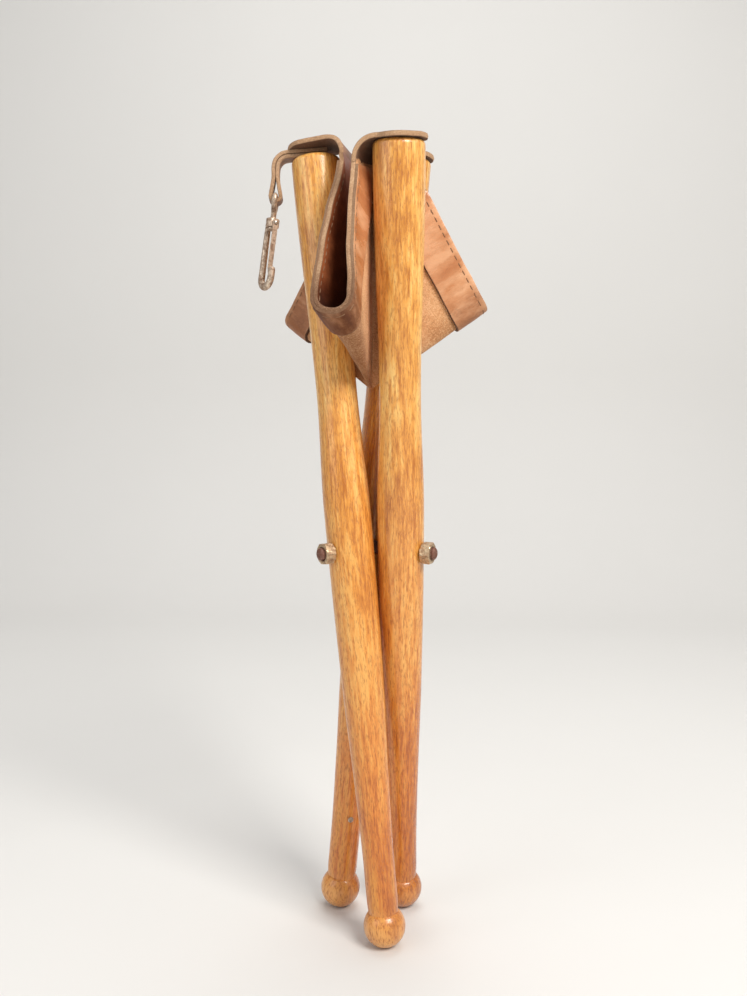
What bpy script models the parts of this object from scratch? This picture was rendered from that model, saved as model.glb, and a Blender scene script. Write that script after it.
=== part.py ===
"""Three-legged folding campaign stool, shown folded, with its leather seat drawn up between the legs.

Metres, +Z up. The stool stands on its three ball feet with the middle of its box at the origin.
The frame is laid out round the middle of the three-way bolt and then set upright on the floor.
"""

import bpy
import bmesh
from math import acos, asin, atan2, cos, pi, radians, sin, sqrt, tan
from mathutils import Matrix, Quaternion, Vector

UP = Vector((0, 0, 1))
LEGS = ("left", "right", "back")
WINGS = {"front": ("left", "right"), "right": ("right", "back"), "left": ("back", "left")}

# Fits
GAP = 0.0003                    # between pieces that touch
BORE_CLEARANCE = 0.0003         # round a pin in its bore, on the radius

# Turned legs: distances run from the top end, sizes are diameters
LEG_LENGTH = 0.600
PIVOT_FROM_TOP = 0.2963
TOP_DIAMETER = 0.0372
SHOULDER_FROM_TOP = 0.045
SHOULDER_DIAMETER = 0.0366
WAIST_FROM_TOP = 0.179
WAIST_DIAMETER = 0.0307
SWELL_FROM_TOP = 0.265
SWELL_DIAMETER = 0.0356
SHIN_FROM_TOP = 0.400
SHIN_DIAMETER = 0.0318
CALF_FROM_TOP = 0.470
CALF_DIAMETER = 0.0269
NECK_FROM_TOP = 0.545
NECK_DIAMETER = 0.0236
BALL_DIAMETER = 0.0319
TOP_EDGE_RADIUS = 0.0045
FOOT_FLAT_DEPTH = 0.0005        # worn flat under each ball

# Three-way bolt and its nuts
PIVOT_RADIUS = 0.022            # bolt centre to each leg's axis
FIRST_ARM_AZIMUTH = 215.41      # degrees, the left leg's arm
ARM_DROOP = 0.932               # degrees below level
ARM_DIAMETER = 0.0095
ARM_PAST_NUT = 0.0035
ARM_DOME = 0.0025               # height of each arm's rounded end
NUT_ACROSS_FLATS = 0.015
NUT_THICKNESS = 0.008
NUT_WORN_EDGE = 0.0006
FOLDED_TILT = {"left": 8.642, "right": 4.981, "back": 4.639}    # degrees off the bolt's axis

# Seat leather: lengths lie along the flat hide, from its centre
LEATHER = 0.0029
SEAT_REACH = 0.16586            # centre to the leg axis
SEAT_EDGE = 0.106               # centre to the middle of each side
HOLD_BELOW_TOP = 0.010          # where a corner turns, below the leg's top
LEATHER_OFF_AXIS = 0.02409      # middle of the leather from the leg axis
CENTRE_CUT = 0.020              # the puckered centre, left open
STRIP_START = 0.045             # where the corner strips begin
BAND_LEATHER = 0.0020           # sewn on the flesh side
BAND_WIDTH = 0.028
BAND_STOP = 0.030               # the bands end this far below the corner bends
STRIP_HALF_ANGLE = {"left": 9.77, "right": 1.8, "back": 8.98}   # degrees
CORNER_SWIVEL = {"left": 28.71, "right": 58.1, "back": -6.54}  # degrees about the leg
FOLD_HALF_ANGLE = {"front": 5.6, "right": 3.0, "left": 3.0}     # degrees, the cone of each rolled fold
FOLD_EDGE_SLACK = 9.0           # degrees left open at each end of a rolled fold
TAB_RADIUS = 0.020
TAB_TAIL_SHARE = 0.96           # of the tab's radius, where its round end is cut square
CORNER_BEND = 0.008             # middle radius of the bend over the leg's rim

# Seat screws
SCREW_HEAD_DIAMETER = 0.0095
SCREW_HEAD_HEIGHT = 0.003
SCREW_DIAMETER = 0.0042
SCREW_LENGTH = 0.028
SCREW_POINT = 0.006

# Hanging strap, clamped under the left corner
STRAP_LEATHER = 0.0029
STRAP_WIDTH = 0.0125
STRAP_AZIMUTH = 183.0           # degrees, the way it leaves the leg's top
STRAP_TAIL = 0.009              # past the screw
STRAP_RUN = 0.0205              # screw to the bend
STRAP_BEND = 0.0085
STRAP_DROP = 0.021              # end of the bend to the eye's bar
STRAP_SPLIT = 0.013             # where the two layers part, above the bar
STRAP_LOOP_START = -20.0        # degrees, where the strap meets the eye's bar
STRAP_LOOP_TURN = 220.0         # degrees that it lies round the bar

# Swivel eye
EYE_WIRE = 0.0040
EYE_CORNER = 0.0035             # bends at the ends of the bar
EYE_HEIGHT = 0.0140             # bar to the neck, wire centres
EYE_NECK_HALF = 0.0006          # half the space between the wire's centres at the neck
EYE_STEM_DIAMETER = 0.0042
EYE_BUTTON_DIAMETER = 0.0064
EYE_BUTTON_THICKNESS = 0.002
EYE_BUTTON_EDGE = 0.0012        # height of the button's straight edge

# Snap hook
HOOK_LEAN = 7.0                 # degrees from upright as it hangs
HOOK_TURN = 122.0               # degrees, the way the nose points
COLLAR_DIAMETER = 0.0102
COLLAR_HEIGHT = 0.0065
COLLAR_FLAT_DEPTH = 0.0010      # cut from the collar's front for the tongue
HOOK_BAR = 0.0054
HOOK_SHANK_OFFSET = 0.0063      # swivel axis to the middle of the shank
HOOK_SHANK_TOP = 0.002          # end of the shank above the collar's middle
HOOK_DROP = 0.041               # collar's middle to the middle of the bend
HOOK_BEND = 0.0072
NOSE_RISE = 0.0075              # middle of the bend to the end of the nose
NOSE_TAPER = 0.003
NOSE_END_DIAMETER = 0.0038
TONGUE_LEAF = 0.0009
TONGUE_WIDTH = 0.0046
TONGUE_ABOVE_RIVET = 0.0023
TONGUE_TIP_BELOW_NOSE = 0.0041
TONGUE_BOW = ((0.35, 0.40), (0.70, 0.80))   # shares of the leaf's fall and of its reach, along its bow
RIVET_HEAD_DIAMETER = 0.0034
RIVET_HEAD_HEIGHT = 0.0009
RIVET_DIAMETER = 0.0018
RIVET_LENGTH = 0.0018

# Nail in the back leg
NAIL_ABOVE_FOOT = 0.063         # above the ball's centre
NAIL_AZIMUTH = -75.0            # degrees
NAIL_HEAD_DIAMETER = 0.0046
NAIL_HEAD_HEIGHT = 0.0009
NAIL_HEAD_FLAT = 0.0032         # diameter of the head's flat top
NAIL_HEAD_EDGE = 0.0004         # height of the head's straight edge
NAIL_DIAMETER = 0.0018
NAIL_LENGTH = 0.010
NAIL_POINT = 0.002

# Facets
LEG_STEPS = 24
LEG_STATION_STEP = 0.024
ROUND_STEPS = 20
SCREW_STEPS = 16
SMALL_STEPS = 12
ARC_STEPS = 8
TAB_COLUMNS = 16
TAB_ROWS = 6
FOLD_COLUMNS = 12
FOLD_ROWS = 3
EYE_SIDE_STEPS = 5
TURN = 2 * pi


def leg_tilt(leg):
    return radians(FOLDED_TILT[leg])


def arm_axes(leg):
    """Outward, sideways, along-the-arm and rising directions at a leg's arm."""
    azimuth = radians(FIRST_ARM_AZIMUTH + 120 * LEGS.index(leg))
    out = Vector((cos(azimuth), sin(azimuth), 0))
    side = Vector((-sin(azimuth), cos(azimuth), 0))
    droop = radians(ARM_DROOP)
    return out, side, cos(droop) * out - sin(droop) * UP, sin(droop) * out + cos(droop) * UP


def leg_direction(leg, tilt):
    out, side, arm, rise = arm_axes(leg)
    return cos(tilt) * rise - sin(tilt) * side


def leg_point(leg, tilt, from_pivot):
    return PIVOT_RADIUS * arm_axes(leg)[2] + from_pivot * leg_direction(leg, tilt)


def basis(x_axis, z_axis, origin):
    """Placing matrix with the given X and Z axes."""
    y_axis = z_axis.cross(x_axis).normalized()
    matrix = Matrix((x_axis, y_axis, z_axis)).transposed().to_4x4()
    matrix.translation = origin
    return matrix


def leg_matrix(leg):
    return basis(arm_axes(leg)[2], leg_direction(leg, leg_tilt(leg)), leg_point(leg, leg_tilt(leg), 0))


def ball_from_pivot():
    return LEG_LENGTH - PIVOT_FROM_TOP - BALL_DIAMETER / 2


# How the seat folds: three stiff corner strips, and a wing of two flaps and a rolled fold on each side.

def open_tilt():
    """Leg tilt at which the seat is drawn flat."""
    reach = PIVOT_FROM_TOP - HOLD_BELOW_TOP
    droop = sin(radians(ARM_DROOP))
    pivot = PIVOT_RADIUS * cos(radians(ARM_DROOP))
    square = reach ** 2 * (1 - droop ** 2)
    linear = pivot * reach * droop
    rest = reach ** 2 + pivot ** 2 - SEAT_REACH ** 2
    return acos((linear + sqrt(linear ** 2 + square * rest)) / square)


def turning_point(leg, tilt):
    return leg_point(leg, tilt, PIVOT_FROM_TOP - HOLD_BELOW_TOP)


def seat_centre():
    """Centre of the folded seat, as far from every corner as the hide allows."""
    first, second, third = (turning_point(leg, leg_tilt(leg)) for leg in LEGS)
    a = second - first
    b = third - first
    normal = a.cross(b)
    middle = (a.length_squared * b - b.length_squared * a).cross(normal) / (2 * normal.length_squared)
    depth = SEAT_REACH ** 2 + LEATHER_OFF_AXIS ** 2 - middle.length_squared
    down = normal.normalized() * (-1 if normal.z > 0 else 1)
    return first + middle + sqrt(depth) * down


def strip_axes(leg, centre):
    """Corner strip: outward, sideways and grain-side directions."""
    corner = turning_point(leg, leg_tilt(leg))
    opened = turning_point(leg, open_tilt())
    inward = Vector((-opened.x, -opened.y, 0)).normalized()
    inward = Quaternion(arm_axes(leg)[2], leg_tilt(leg) - open_tilt()) @ inward
    swivel = Quaternion(leg_direction(leg, leg_tilt(leg)), radians(CORNER_SWIVEL[leg]))
    inward = swivel @ inward
    reach = (corner - centre).normalized()
    across = (inward - inward.dot(reach) * reach).normalized()
    lean = atan2(LEATHER_OFF_AXIS, SEAT_REACH)
    outward = cos(lean) * reach + sin(lean) * across
    grain = cos(lean) * across - sin(lean) * reach
    return outward, grain.cross(outward), grain


def flap_turn(ridge, crease, sector, half, grain):
    """Rotation of a flap whose ridge and cone axis are known; grain is the sign of its local Z."""
    local = Vector((cos(half) * cos(sector), cos(half) * sin(sector), grain * sin(half)))

    def turn(first, second):
        second = (second - second.dot(first) * first).normalized()
        return Matrix((first, second, first.cross(second))).transposed()

    return turn(ridge, crease) @ turn(Vector((1, 0, 0)), local).transposed()


def fold_wing(wing, centre, strips):
    """Directions of a folded wing, found so that the hide neither stretches nor tears."""
    first, second = WINGS[wing]
    half = radians(FOLD_HALF_ANGLE[wing])
    first_half = radians(STRIP_HALF_ANGLE[first])
    second_half = radians(STRIP_HALF_ANGLE[second])
    out, side, grain = strips[first]
    first_ridge = cos(first_half) * out + sin(first_half) * side
    out, side, grain = strips[second]
    second_ridge = cos(second_half) * out - sin(second_half) * side
    both = first_ridge + second_ridge
    across = first_ridge.cross(second_ridge)
    outward = turning_point(first, leg_tilt(first)) + turning_point(second, leg_tilt(second))
    outward = Vector((outward.x / 2 - centre.x, outward.y / 2 - centre.y, 0))
    roll = pi
    for attempt in range(12):
        sector = (TURN / 3 - first_half - second_half - roll * sin(half)) / 2
        along = cos(half) * cos(sector) / (1 + first_ridge.dot(second_ridge))
        aside = sqrt((1 - along ** 2 * both.length_squared) / across.length_squared)
        axis = max((along * both + sign * aside * across for sign in (1, -1)), key=outward.dot)
        first_flap = flap_turn(first_ridge, axis, sector, half, 1)
        second_flap = flap_turn(second_ridge, axis, sector, half, -1)
        crease = Vector((cos(sector), sin(sector), 0))
        start = first_flap @ crease
        end = second_flap @ crease
        start_side = (start - start.dot(axis) * axis).normalized()
        end_side = (end - end.dot(axis) * axis).normalized()
        roll = atan2(start_side.cross(end_side).dot(axis), start_side.dot(end_side)) % TURN
    return {"axis": axis, "roll": roll, "sector": sector, "start": start,
            "first_flap": first_flap, "second_flap": second_flap,
            "first_half": first_half, "second_half": second_half}


def fold_generator(wing_fold, share):
    """Direction and grain-side normal of a rolled fold, from 0 at the first flap to 1 at the second."""
    turn = Quaternion(wing_fold["axis"], share * wing_fold["roll"])
    return turn @ wing_fold["start"], turn @ wing_fold["first_flap"].col[2]


def seat_edge(flat_angle):
    """Hide from its centre to its side, at an angle from the corner."""
    return SEAT_EDGE / cos(pi / 3 - flat_angle)


def ridge_inset(fold_angle, reach):
    """How far a panel stops short of a ridge, so that its edges stay clear in the fold."""
    return reach * tan(fold_angle / 2) + GAP / 2


def clip(outline, normal, limit):
    """The part of a convex outline where the point along normal is at most limit."""
    kept = []
    for index, here in enumerate(outline):
        there = outline[(index + 1) % len(outline)]
        near = here.dot(normal) - limit
        far = there.dot(normal) - limit
        if near <= 0:
            kept.append(here)
        if near * far < 0:
            kept.append(here + (there - here) * near / (near - far))
    return kept


def polar(angle, length=1.0):
    return Vector((length * cos(angle), length * sin(angle)))


def whole_plane():
    span = 4 * SEAT_EDGE
    return [Vector((-span, -span)), Vector((span, -span)), Vector((span, span)), Vector((-span, span))]


# Corners: the bend from each strip over the leg's rim to the tab under the screw.

def strap_stack(leg):
    """Thickness of the strap's two layers under the left tab."""
    return 2 * (STRAP_LEATHER + GAP) if leg == "left" else 0.0


def corner_bend(leg, centre, strip):
    """Where a corner's tab, bend and strip meet, in the plane across the bend."""
    outward, side, grain = strip
    up = leg_direction(leg, leg_tilt(leg))
    top = leg_point(leg, leg_tilt(leg), PIVOT_FROM_TOP)
    tab = top + (strap_stack(leg) + GAP + LEATHER / 2) * up
    across = grain.cross(up).normalized()
    run = up.cross(across)
    if run.dot(grain) < 0:
        across.negate()
        run.negate()
    fall = across.cross(grain)
    if fall.dot(outward) > 0:
        fall.negate()
    angle = run.angle(fall)
    meet = (centre - tab).dot(grain) / run.dot(grain)
    setback = CORNER_BEND * tan(angle / 2)
    edge = Vector((-fall.dot(outward), -fall.dot(side)))
    corner = tab + meet * run - centre
    limit = edge.dot(Vector((corner.dot(outward), corner.dot(side))))
    return {"tab": tab, "across": across, "run": run, "up": up, "angle": angle,
            "start": meet - setback, "edge": edge, "limit": limit - setback}


def strip_outline(leg, bend, insets):
    """Corner strip, along and across the corner's own axis."""
    half = radians(STRIP_HALF_ANGLE[leg])
    outline = clip(whole_plane(), Vector((-1, 0)), -STRIP_START)
    outline = clip(outline, Vector((-sin(half), cos(half))), -insets[1])
    outline = clip(outline, Vector((-sin(half), -cos(half))), -insets[0])
    outline = clip(outline, polar(pi / 3), SEAT_EDGE)
    outline = clip(outline, polar(-pi / 3), SEAT_EDGE)
    return clip(outline, bend["edge"], bend["limit"] - GAP)


def flap_outline(half, sector, ridge_gap, bend, side, inner, band):
    """Flap or its band, along and across the ridge; side is 1 at a wing's first flap, -1 at its second."""
    edge = polar(pi / 3 - half)
    trim = Vector((bend["edge"].x, side * bend["edge"].y))
    trim.rotate(Matrix.Rotation(-half, 2))
    outline = clip(whole_plane(), Vector((0, -1)), -ridge_gap)
    outline = clip(outline, Vector((-sin(sector), cos(sector))), -GAP)
    outline = clip(outline, polar(sector / 2, -1), -inner)
    outline = clip(outline, edge, SEAT_EDGE)
    if not band:
        return clip(outline, trim, bend["limit"])
    outline = clip(outline, trim, bend["limit"] - BAND_STOP)
    return clip(outline, -edge, BAND_WIDTH - SEAT_EDGE)


# Modelling helpers

def new_collection(name):
    collection = bpy.data.collections.new(name)
    bpy.context.scene.collection.children.link(collection)
    return collection


def finish(name, colour, roughness, metallic=0.0):
    material = bpy.data.materials.new(name)
    material.use_nodes = True
    shader = material.node_tree.nodes["Principled BSDF"]
    shader.inputs["Base Color"].default_value = (*colour, 1)
    shader.inputs["Roughness"].default_value = roughness
    shader.inputs["Metallic"].default_value = metallic
    material.diffuse_color = (*colour, 1)
    return material


class Stool:
    """The stool's collections, its standing frame and the pivots under it."""

    def __init__(self):
        self.parts = new_collection("folding_campaign_stool")
        self.cutters = new_collection("cutters")
        self.places = {}
        self.frame = self.pivot("stool_frame", Matrix(), None)

    def pivot(self, name, matrix, parent):
        empty = bpy.data.objects.new(name, None)
        empty.empty_display_size = 0.02
        self.parts.objects.link(empty)
        self.set_place(empty, matrix, parent)
        return empty

    def set_place(self, item, matrix, parent):
        """Put an object at a matrix of the frame, under a pivot or the frame itself."""
        self.places[item.name] = matrix
        item.parent = parent
        under = self.places[parent.name] if parent else Matrix()
        item.matrix_basis = under.inverted() @ matrix

    def add(self, name, data, matrix, parent, material):
        item = bpy.data.objects.new(name, data)
        self.parts.objects.link(item)
        data.materials.append(material)
        self.set_place(item, matrix, parent)
        return item

    def add_cutter(self, name, mesh, matrix, parent):
        item = bpy.data.objects.new(name, mesh)
        self.cutters.objects.link(item)
        item.hide_render = True
        item.display_type = "WIRE"
        self.set_place(item, matrix, parent)
        return item


def boolean(item, other, operation):
    modifier = item.modifiers.new(operation.lower(), "BOOLEAN")
    modifier.operation = operation
    modifier.object = other


def cylinder_mesh(name, radius, start, end, steps=ROUND_STEPS):
    """Cylinder along Z between two heights."""
    shape = bmesh.new()
    middle = Matrix.Translation((0, 0, (start + end) / 2))
    bmesh.ops.create_cone(shape, cap_ends=True, segments=steps, radius1=radius, radius2=radius,
                          depth=end - start, matrix=middle)
    mesh = bpy.data.meshes.new(name)
    shape.to_mesh(mesh)
    shape.free()
    return mesh


def turned_mesh(name, profile):
    """Edges of a profile of (radius, height) points, from top to bottom."""
    mesh = bpy.data.meshes.new(name)
    mesh.from_pydata([(radius, 0, height) for radius, height in profile],
                     [(index, index + 1) for index in range(len(profile) - 1)], [])
    return mesh


def turn_on_axis(item, steps=ROUND_STEPS):
    screw = item.modifiers.new("turned", "SCREW")
    screw.axis = "Z"
    screw.angle = TURN
    screw.steps = steps
    screw.render_steps = steps
    screw.use_merge_vertices = True
    screw.merge_threshold = 0.00001
    screw.use_smooth_shade = True


def arc(centre, radius, start, end, steps):
    """Points (across, up) on an arc, angles from the first axis."""
    points = []
    for index in range(steps + 1):
        angle = start + (end - start) * index / steps
        points.append((centre[0] + radius * cos(angle), centre[1] + radius * sin(angle)))
    return points


def plate_curve(name, outline, thickness):
    """Flat outline as a filled curve of the given thickness, centred on its plane."""
    curve = bpy.data.curves.new(name, "CURVE")
    curve.dimensions = "2D"
    curve.fill_mode = "BOTH"
    curve.extrude = thickness / 2
    spline = curve.splines.new("POLY")
    spline.points.add(len(outline) - 1)
    for point, place in zip(spline.points, outline):
        point.co = (place.x, place.y, 0, 1)
    spline.use_cyclic_u = True
    return curve


def sheet_mesh(name, columns, rows, place):
    """Open grid whose points are placed from shares 0 to 1 along and across."""
    shape = bmesh.new()
    bmesh.ops.create_grid(shape, x_segments=columns, y_segments=rows, size=0.5)
    for vertex in shape.verts:
        vertex.co = place(vertex.co.x + 0.5, vertex.co.y + 0.5)
    mesh = bpy.data.meshes.new(name)
    shape.to_mesh(mesh)
    shape.free()
    mesh.shade_smooth()
    return mesh


def thicken(item, thickness):
    solidify = item.modifiers.new("thickness", "SOLIDIFY")
    solidify.thickness = thickness
    solidify.offset = 0.0


def tube_mesh(name, points, radius, cyclic=False, radii=None):
    """Closed mesh of a round bar along points."""
    curve = bpy.data.curves.new(name, "CURVE")
    curve.dimensions = "3D"
    curve.bevel_depth = radius
    curve.bevel_resolution = 2
    curve.use_fill_caps = not cyclic
    spline = curve.splines.new("POLY")
    spline.points.add(len(points) - 1)
    for index, place in enumerate(points):
        spline.points[index].co = (*place, 1)
        spline.points[index].radius = radii[index] if radii else 1.0
    spline.use_cyclic_u = cyclic
    holder = bpy.data.objects.new(name, curve)
    bpy.context.scene.collection.objects.link(holder)
    bpy.context.view_layer.update()
    mesh = bpy.data.meshes.new_from_object(holder.evaluated_get(bpy.context.evaluated_depsgraph_get()))
    bpy.data.objects.remove(holder)
    shape = bmesh.new()
    shape.from_mesh(mesh)
    bmesh.ops.remove_doubles(shape, verts=shape.verts, dist=0.000001)
    bmesh.ops.recalc_face_normals(shape, faces=shape.faces)
    shape.to_mesh(mesh)
    shape.free()
    mesh.materials.clear()
    return mesh


# Legs

def leg_radius(from_top):
    """Smooth turning through the leg's named sizes."""
    stations = ((0.0, TOP_DIAMETER), (SHOULDER_FROM_TOP, SHOULDER_DIAMETER),
                (WAIST_FROM_TOP, WAIST_DIAMETER), (SWELL_FROM_TOP, SWELL_DIAMETER),
                (SHIN_FROM_TOP, SHIN_DIAMETER), (CALF_FROM_TOP, CALF_DIAMETER),
                (NECK_FROM_TOP, NECK_DIAMETER), (LEG_LENGTH, NECK_DIAMETER))

    def slope(index):
        if index == 0 or index == len(stations) - 1:
            return 0.0
        before, after = stations[index - 1], stations[index + 1]
        rise = (stations[index][1] - before[1]) * (after[1] - stations[index][1])
        return (after[1] - before[1]) / (after[0] - before[0]) if rise > 0 else 0.0

    index = max(i for i in range(len(stations) - 1) if stations[i][0] <= from_top)
    (start, first), (end, last) = stations[index], stations[index + 1]
    span = end - start
    t = (from_top - start) / span
    ease = t * t * (3 - 2 * t)
    size = first + (last - first) * ease
    size += slope(index) * span * t * (1 - t) ** 2 - slope(index + 1) * span * t * t * (1 - t)
    return size / 2


def leg_profile():
    """Turned outline from the top's middle down to the bottom of the ball, heights from the pivot."""
    top_radius = leg_radius(TOP_EDGE_RADIUS)
    points = [(0.0, PIVOT_FROM_TOP)]
    points += arc((top_radius - TOP_EDGE_RADIUS, PIVOT_FROM_TOP - TOP_EDGE_RADIUS), TOP_EDGE_RADIUS,
                  pi / 2, 0, 3)
    ball = BALL_DIAMETER / 2
    neck = sqrt(ball ** 2 - (NECK_DIAMETER / 2) ** 2)
    shaft = LEG_LENGTH - ball - neck - TOP_EDGE_RADIUS
    count = round(shaft / LEG_STATION_STEP)
    for index in range(1, count):
        from_top = TOP_EDGE_RADIUS + shaft * index / count
        points.append((leg_radius(from_top), PIVOT_FROM_TOP - from_top))
    points += arc((0.0, -ball_from_pivot()), ball, asin(neck / ball), -pi / 2, ARC_STEPS)[:-1]
    return points + [(0.0, -ball_from_pivot() - ball)]


def make_leg(stool, leg, wood):
    matrix = leg_matrix(leg)
    pivot = stool.pivot(f"{leg}_leg_pivot", matrix, stool.frame)
    item = stool.add(f"{leg}_leg", turned_mesh(f"{leg}_leg", leg_profile()), matrix, pivot, wood)
    turn_on_axis(item, LEG_STEPS)
    bore = cylinder_mesh("bore", ARM_DIAMETER / 2 + BORE_CLEARANCE, -SWELL_DIAMETER, SWELL_DIAMETER)
    along_arm = matrix @ Matrix.Rotation(pi / 2, 4, "Y")
    boolean(item, stool.add_cutter(f"{leg}_arm_bore", bore, along_arm, pivot), "DIFFERENCE")
    hole = cylinder_mesh("hole", SCREW_DIAMETER / 2 + BORE_CLEARANCE, PIVOT_FROM_TOP - SCREW_LENGTH - GAP,
                         PIVOT_FROM_TOP + TAB_RADIUS)
    boolean(item, stool.add_cutter(f"{leg}_screw_hole", hole, matrix, pivot), "DIFFERENCE")
    return item, pivot


def stand_up(stool, legs):
    """Turn the frame so that the three balls stand level, and wear a flat under each."""
    feet = [leg_point(leg, leg_tilt(leg), -ball_from_pivot()) for leg in LEGS]
    normal = (feet[1] - feet[0]).cross(feet[2] - feet[0]).normalized()
    if normal.z < 0:
        normal.negate()
    upright = normal.rotation_difference(UP).to_matrix()
    rise = BALL_DIAMETER / 2 - FOOT_FLAT_DEPTH - (upright @ feet[0]).z
    stool.frame.matrix_basis = Matrix.Translation((0, 0, rise)) @ upright.to_4x4()
    for leg, item in legs.items():
        floor = cylinder_mesh("floor", BALL_DIAMETER, -BALL_DIAMETER, 0.0)
        middle = upright @ leg_point(leg, leg_tilt(leg), -ball_from_pivot())
        below = stool.frame.matrix_basis.inverted() @ Matrix.Translation((middle.x, middle.y, 0))
        boolean(item, stool.add_cutter(f"{leg}_floor", floor, below, stool.frame), "DIFFERENCE")


def centre_on_floor(stool):
    """Slide the frame until the stool's box is centred on the origin."""
    bpy.context.view_layer.update()
    graph = bpy.context.evaluated_depsgraph_get()
    corners = []
    for item in stool.parts.objects:
        if item.type != "EMPTY":
            solid = item.evaluated_get(graph)
            mesh = solid.to_mesh()
            corners += [solid.matrix_world @ vertex.co for vertex in mesh.vertices]
            solid.to_mesh_clear()
    for axis in (0, 1):
        along = [corner[axis] for corner in corners]
        stool.frame.location[axis] -= (min(along) + max(along)) / 2


# Bolt, nuts, screws and nail

def nut_start():
    return PIVOT_RADIUS + leg_radius(PIVOT_FROM_TOP) + GAP


def arm_length():
    return nut_start() + NUT_THICKNESS + ARM_PAST_NUT


def make_bolt(stool, steel):
    """Three arms forged in one, each with a domed end."""
    arms = []
    radius = ARM_DIAMETER / 2
    for leg in LEGS:
        profile = [(0.0, arm_length())]
        for angle in (pi / 6, pi / 3, pi / 2):
            profile.append((radius * sin(angle), arm_length() - ARM_DOME * (1 - cos(angle))))
        profile += [(radius, 0.0), (0.0, 0.0)]
        along = arm_axes(leg)[2]
        matrix = basis(UP.cross(along).normalized(), along, Vector())
        arms.append((leg, turned_mesh(f"{leg}_arm", profile), matrix))
    leg, mesh, matrix = arms[0]
    bolt = stool.add("three_way_bolt", mesh, matrix, stool.frame, steel)
    turn_on_axis(bolt)
    for leg, mesh, matrix in arms[1:]:
        arm = stool.add_cutter(f"{leg}_arm", mesh, matrix, stool.frame)
        turn_on_axis(arm)
        boolean(bolt, arm, "UNION")


def make_nut(stool, leg, steel):
    along = arm_axes(leg)[2]
    matrix = basis(leg_direction(leg, leg_tilt(leg)), along, nut_start() * along)
    corner = NUT_ACROSS_FLATS / 2 / cos(pi / 6)
    mesh = cylinder_mesh(f"{leg}_nut", corner, 0.0, NUT_THICKNESS, 6)
    nut = stool.add(f"{leg}_nut", mesh, matrix, stool.frame, steel)
    bevel = nut.modifiers.new("worn_edges", "BEVEL")
    bevel.width = NUT_WORN_EDGE
    bevel.segments = 1
    bore = cylinder_mesh("bore", ARM_DIAMETER / 2 + BORE_CLEARANCE, -NUT_THICKNESS, 2 * NUT_THICKNESS)
    boolean(nut, stool.add_cutter(f"{leg}_nut_bore", bore, matrix, stool.frame), "DIFFERENCE")


def screw_seat(leg):
    """Height of the tab's upper face above the leg's top."""
    return strap_stack(leg) + GAP + LEATHER


def make_screw(stool, leg, steel, pivot):
    head = screw_seat(leg) + GAP
    radius = SCREW_HEAD_DIAMETER / 2
    profile = []
    for angle in (0, pi / 8, pi / 4, 3 * pi / 8, pi / 2):
        profile.append((radius * sin(angle), head + SCREW_HEAD_HEIGHT * cos(angle)))
    profile += [(SCREW_DIAMETER / 2, head), (SCREW_DIAMETER / 2, SCREW_POINT - SCREW_LENGTH),
                (0.0, -SCREW_LENGTH)]
    matrix = leg_matrix(leg) @ Matrix.Translation((0, 0, PIVOT_FROM_TOP))
    screw = stool.add(f"{leg}_screw", turned_mesh(f"{leg}_screw", profile), matrix, pivot, steel)
    turn_on_axis(screw, SCREW_STEPS)


def make_nail(stool, leg_item, pivot, steel):
    below = ball_from_pivot() - NAIL_ABOVE_FOOT
    place = leg_point("back", leg_tilt("back"), -below)
    up = leg_direction("back", leg_tilt("back"))
    facing = Vector((cos(radians(NAIL_AZIMUTH)), sin(radians(NAIL_AZIMUTH)), 0))
    facing = (facing - facing.dot(up) * up).normalized()
    surface = leg_radius(PIVOT_FROM_TOP + below)
    matrix = basis(up, facing, place + (surface + GAP) * facing)
    head = NAIL_HEAD_DIAMETER / 2
    shank = NAIL_DIAMETER / 2
    profile = [(0.0, NAIL_HEAD_HEIGHT), (NAIL_HEAD_FLAT / 2, NAIL_HEAD_HEIGHT), (head, NAIL_HEAD_EDGE),
               (head, 0.0), (shank, 0.0), (shank, NAIL_POINT - NAIL_LENGTH), (0.0, -NAIL_LENGTH)]
    nail = stool.add("back_nail", turned_mesh("back_nail", profile), matrix, pivot, steel)
    turn_on_axis(nail, SMALL_STEPS)
    hole = cylinder_mesh("hole", shank + BORE_CLEARANCE, -NAIL_LENGTH - GAP, NAIL_HEAD_DIAMETER, SMALL_STEPS)
    boolean(leg_item, stool.add_cutter("nail_hole", hole, matrix, pivot), "DIFFERENCE")


# Seat leather

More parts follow.
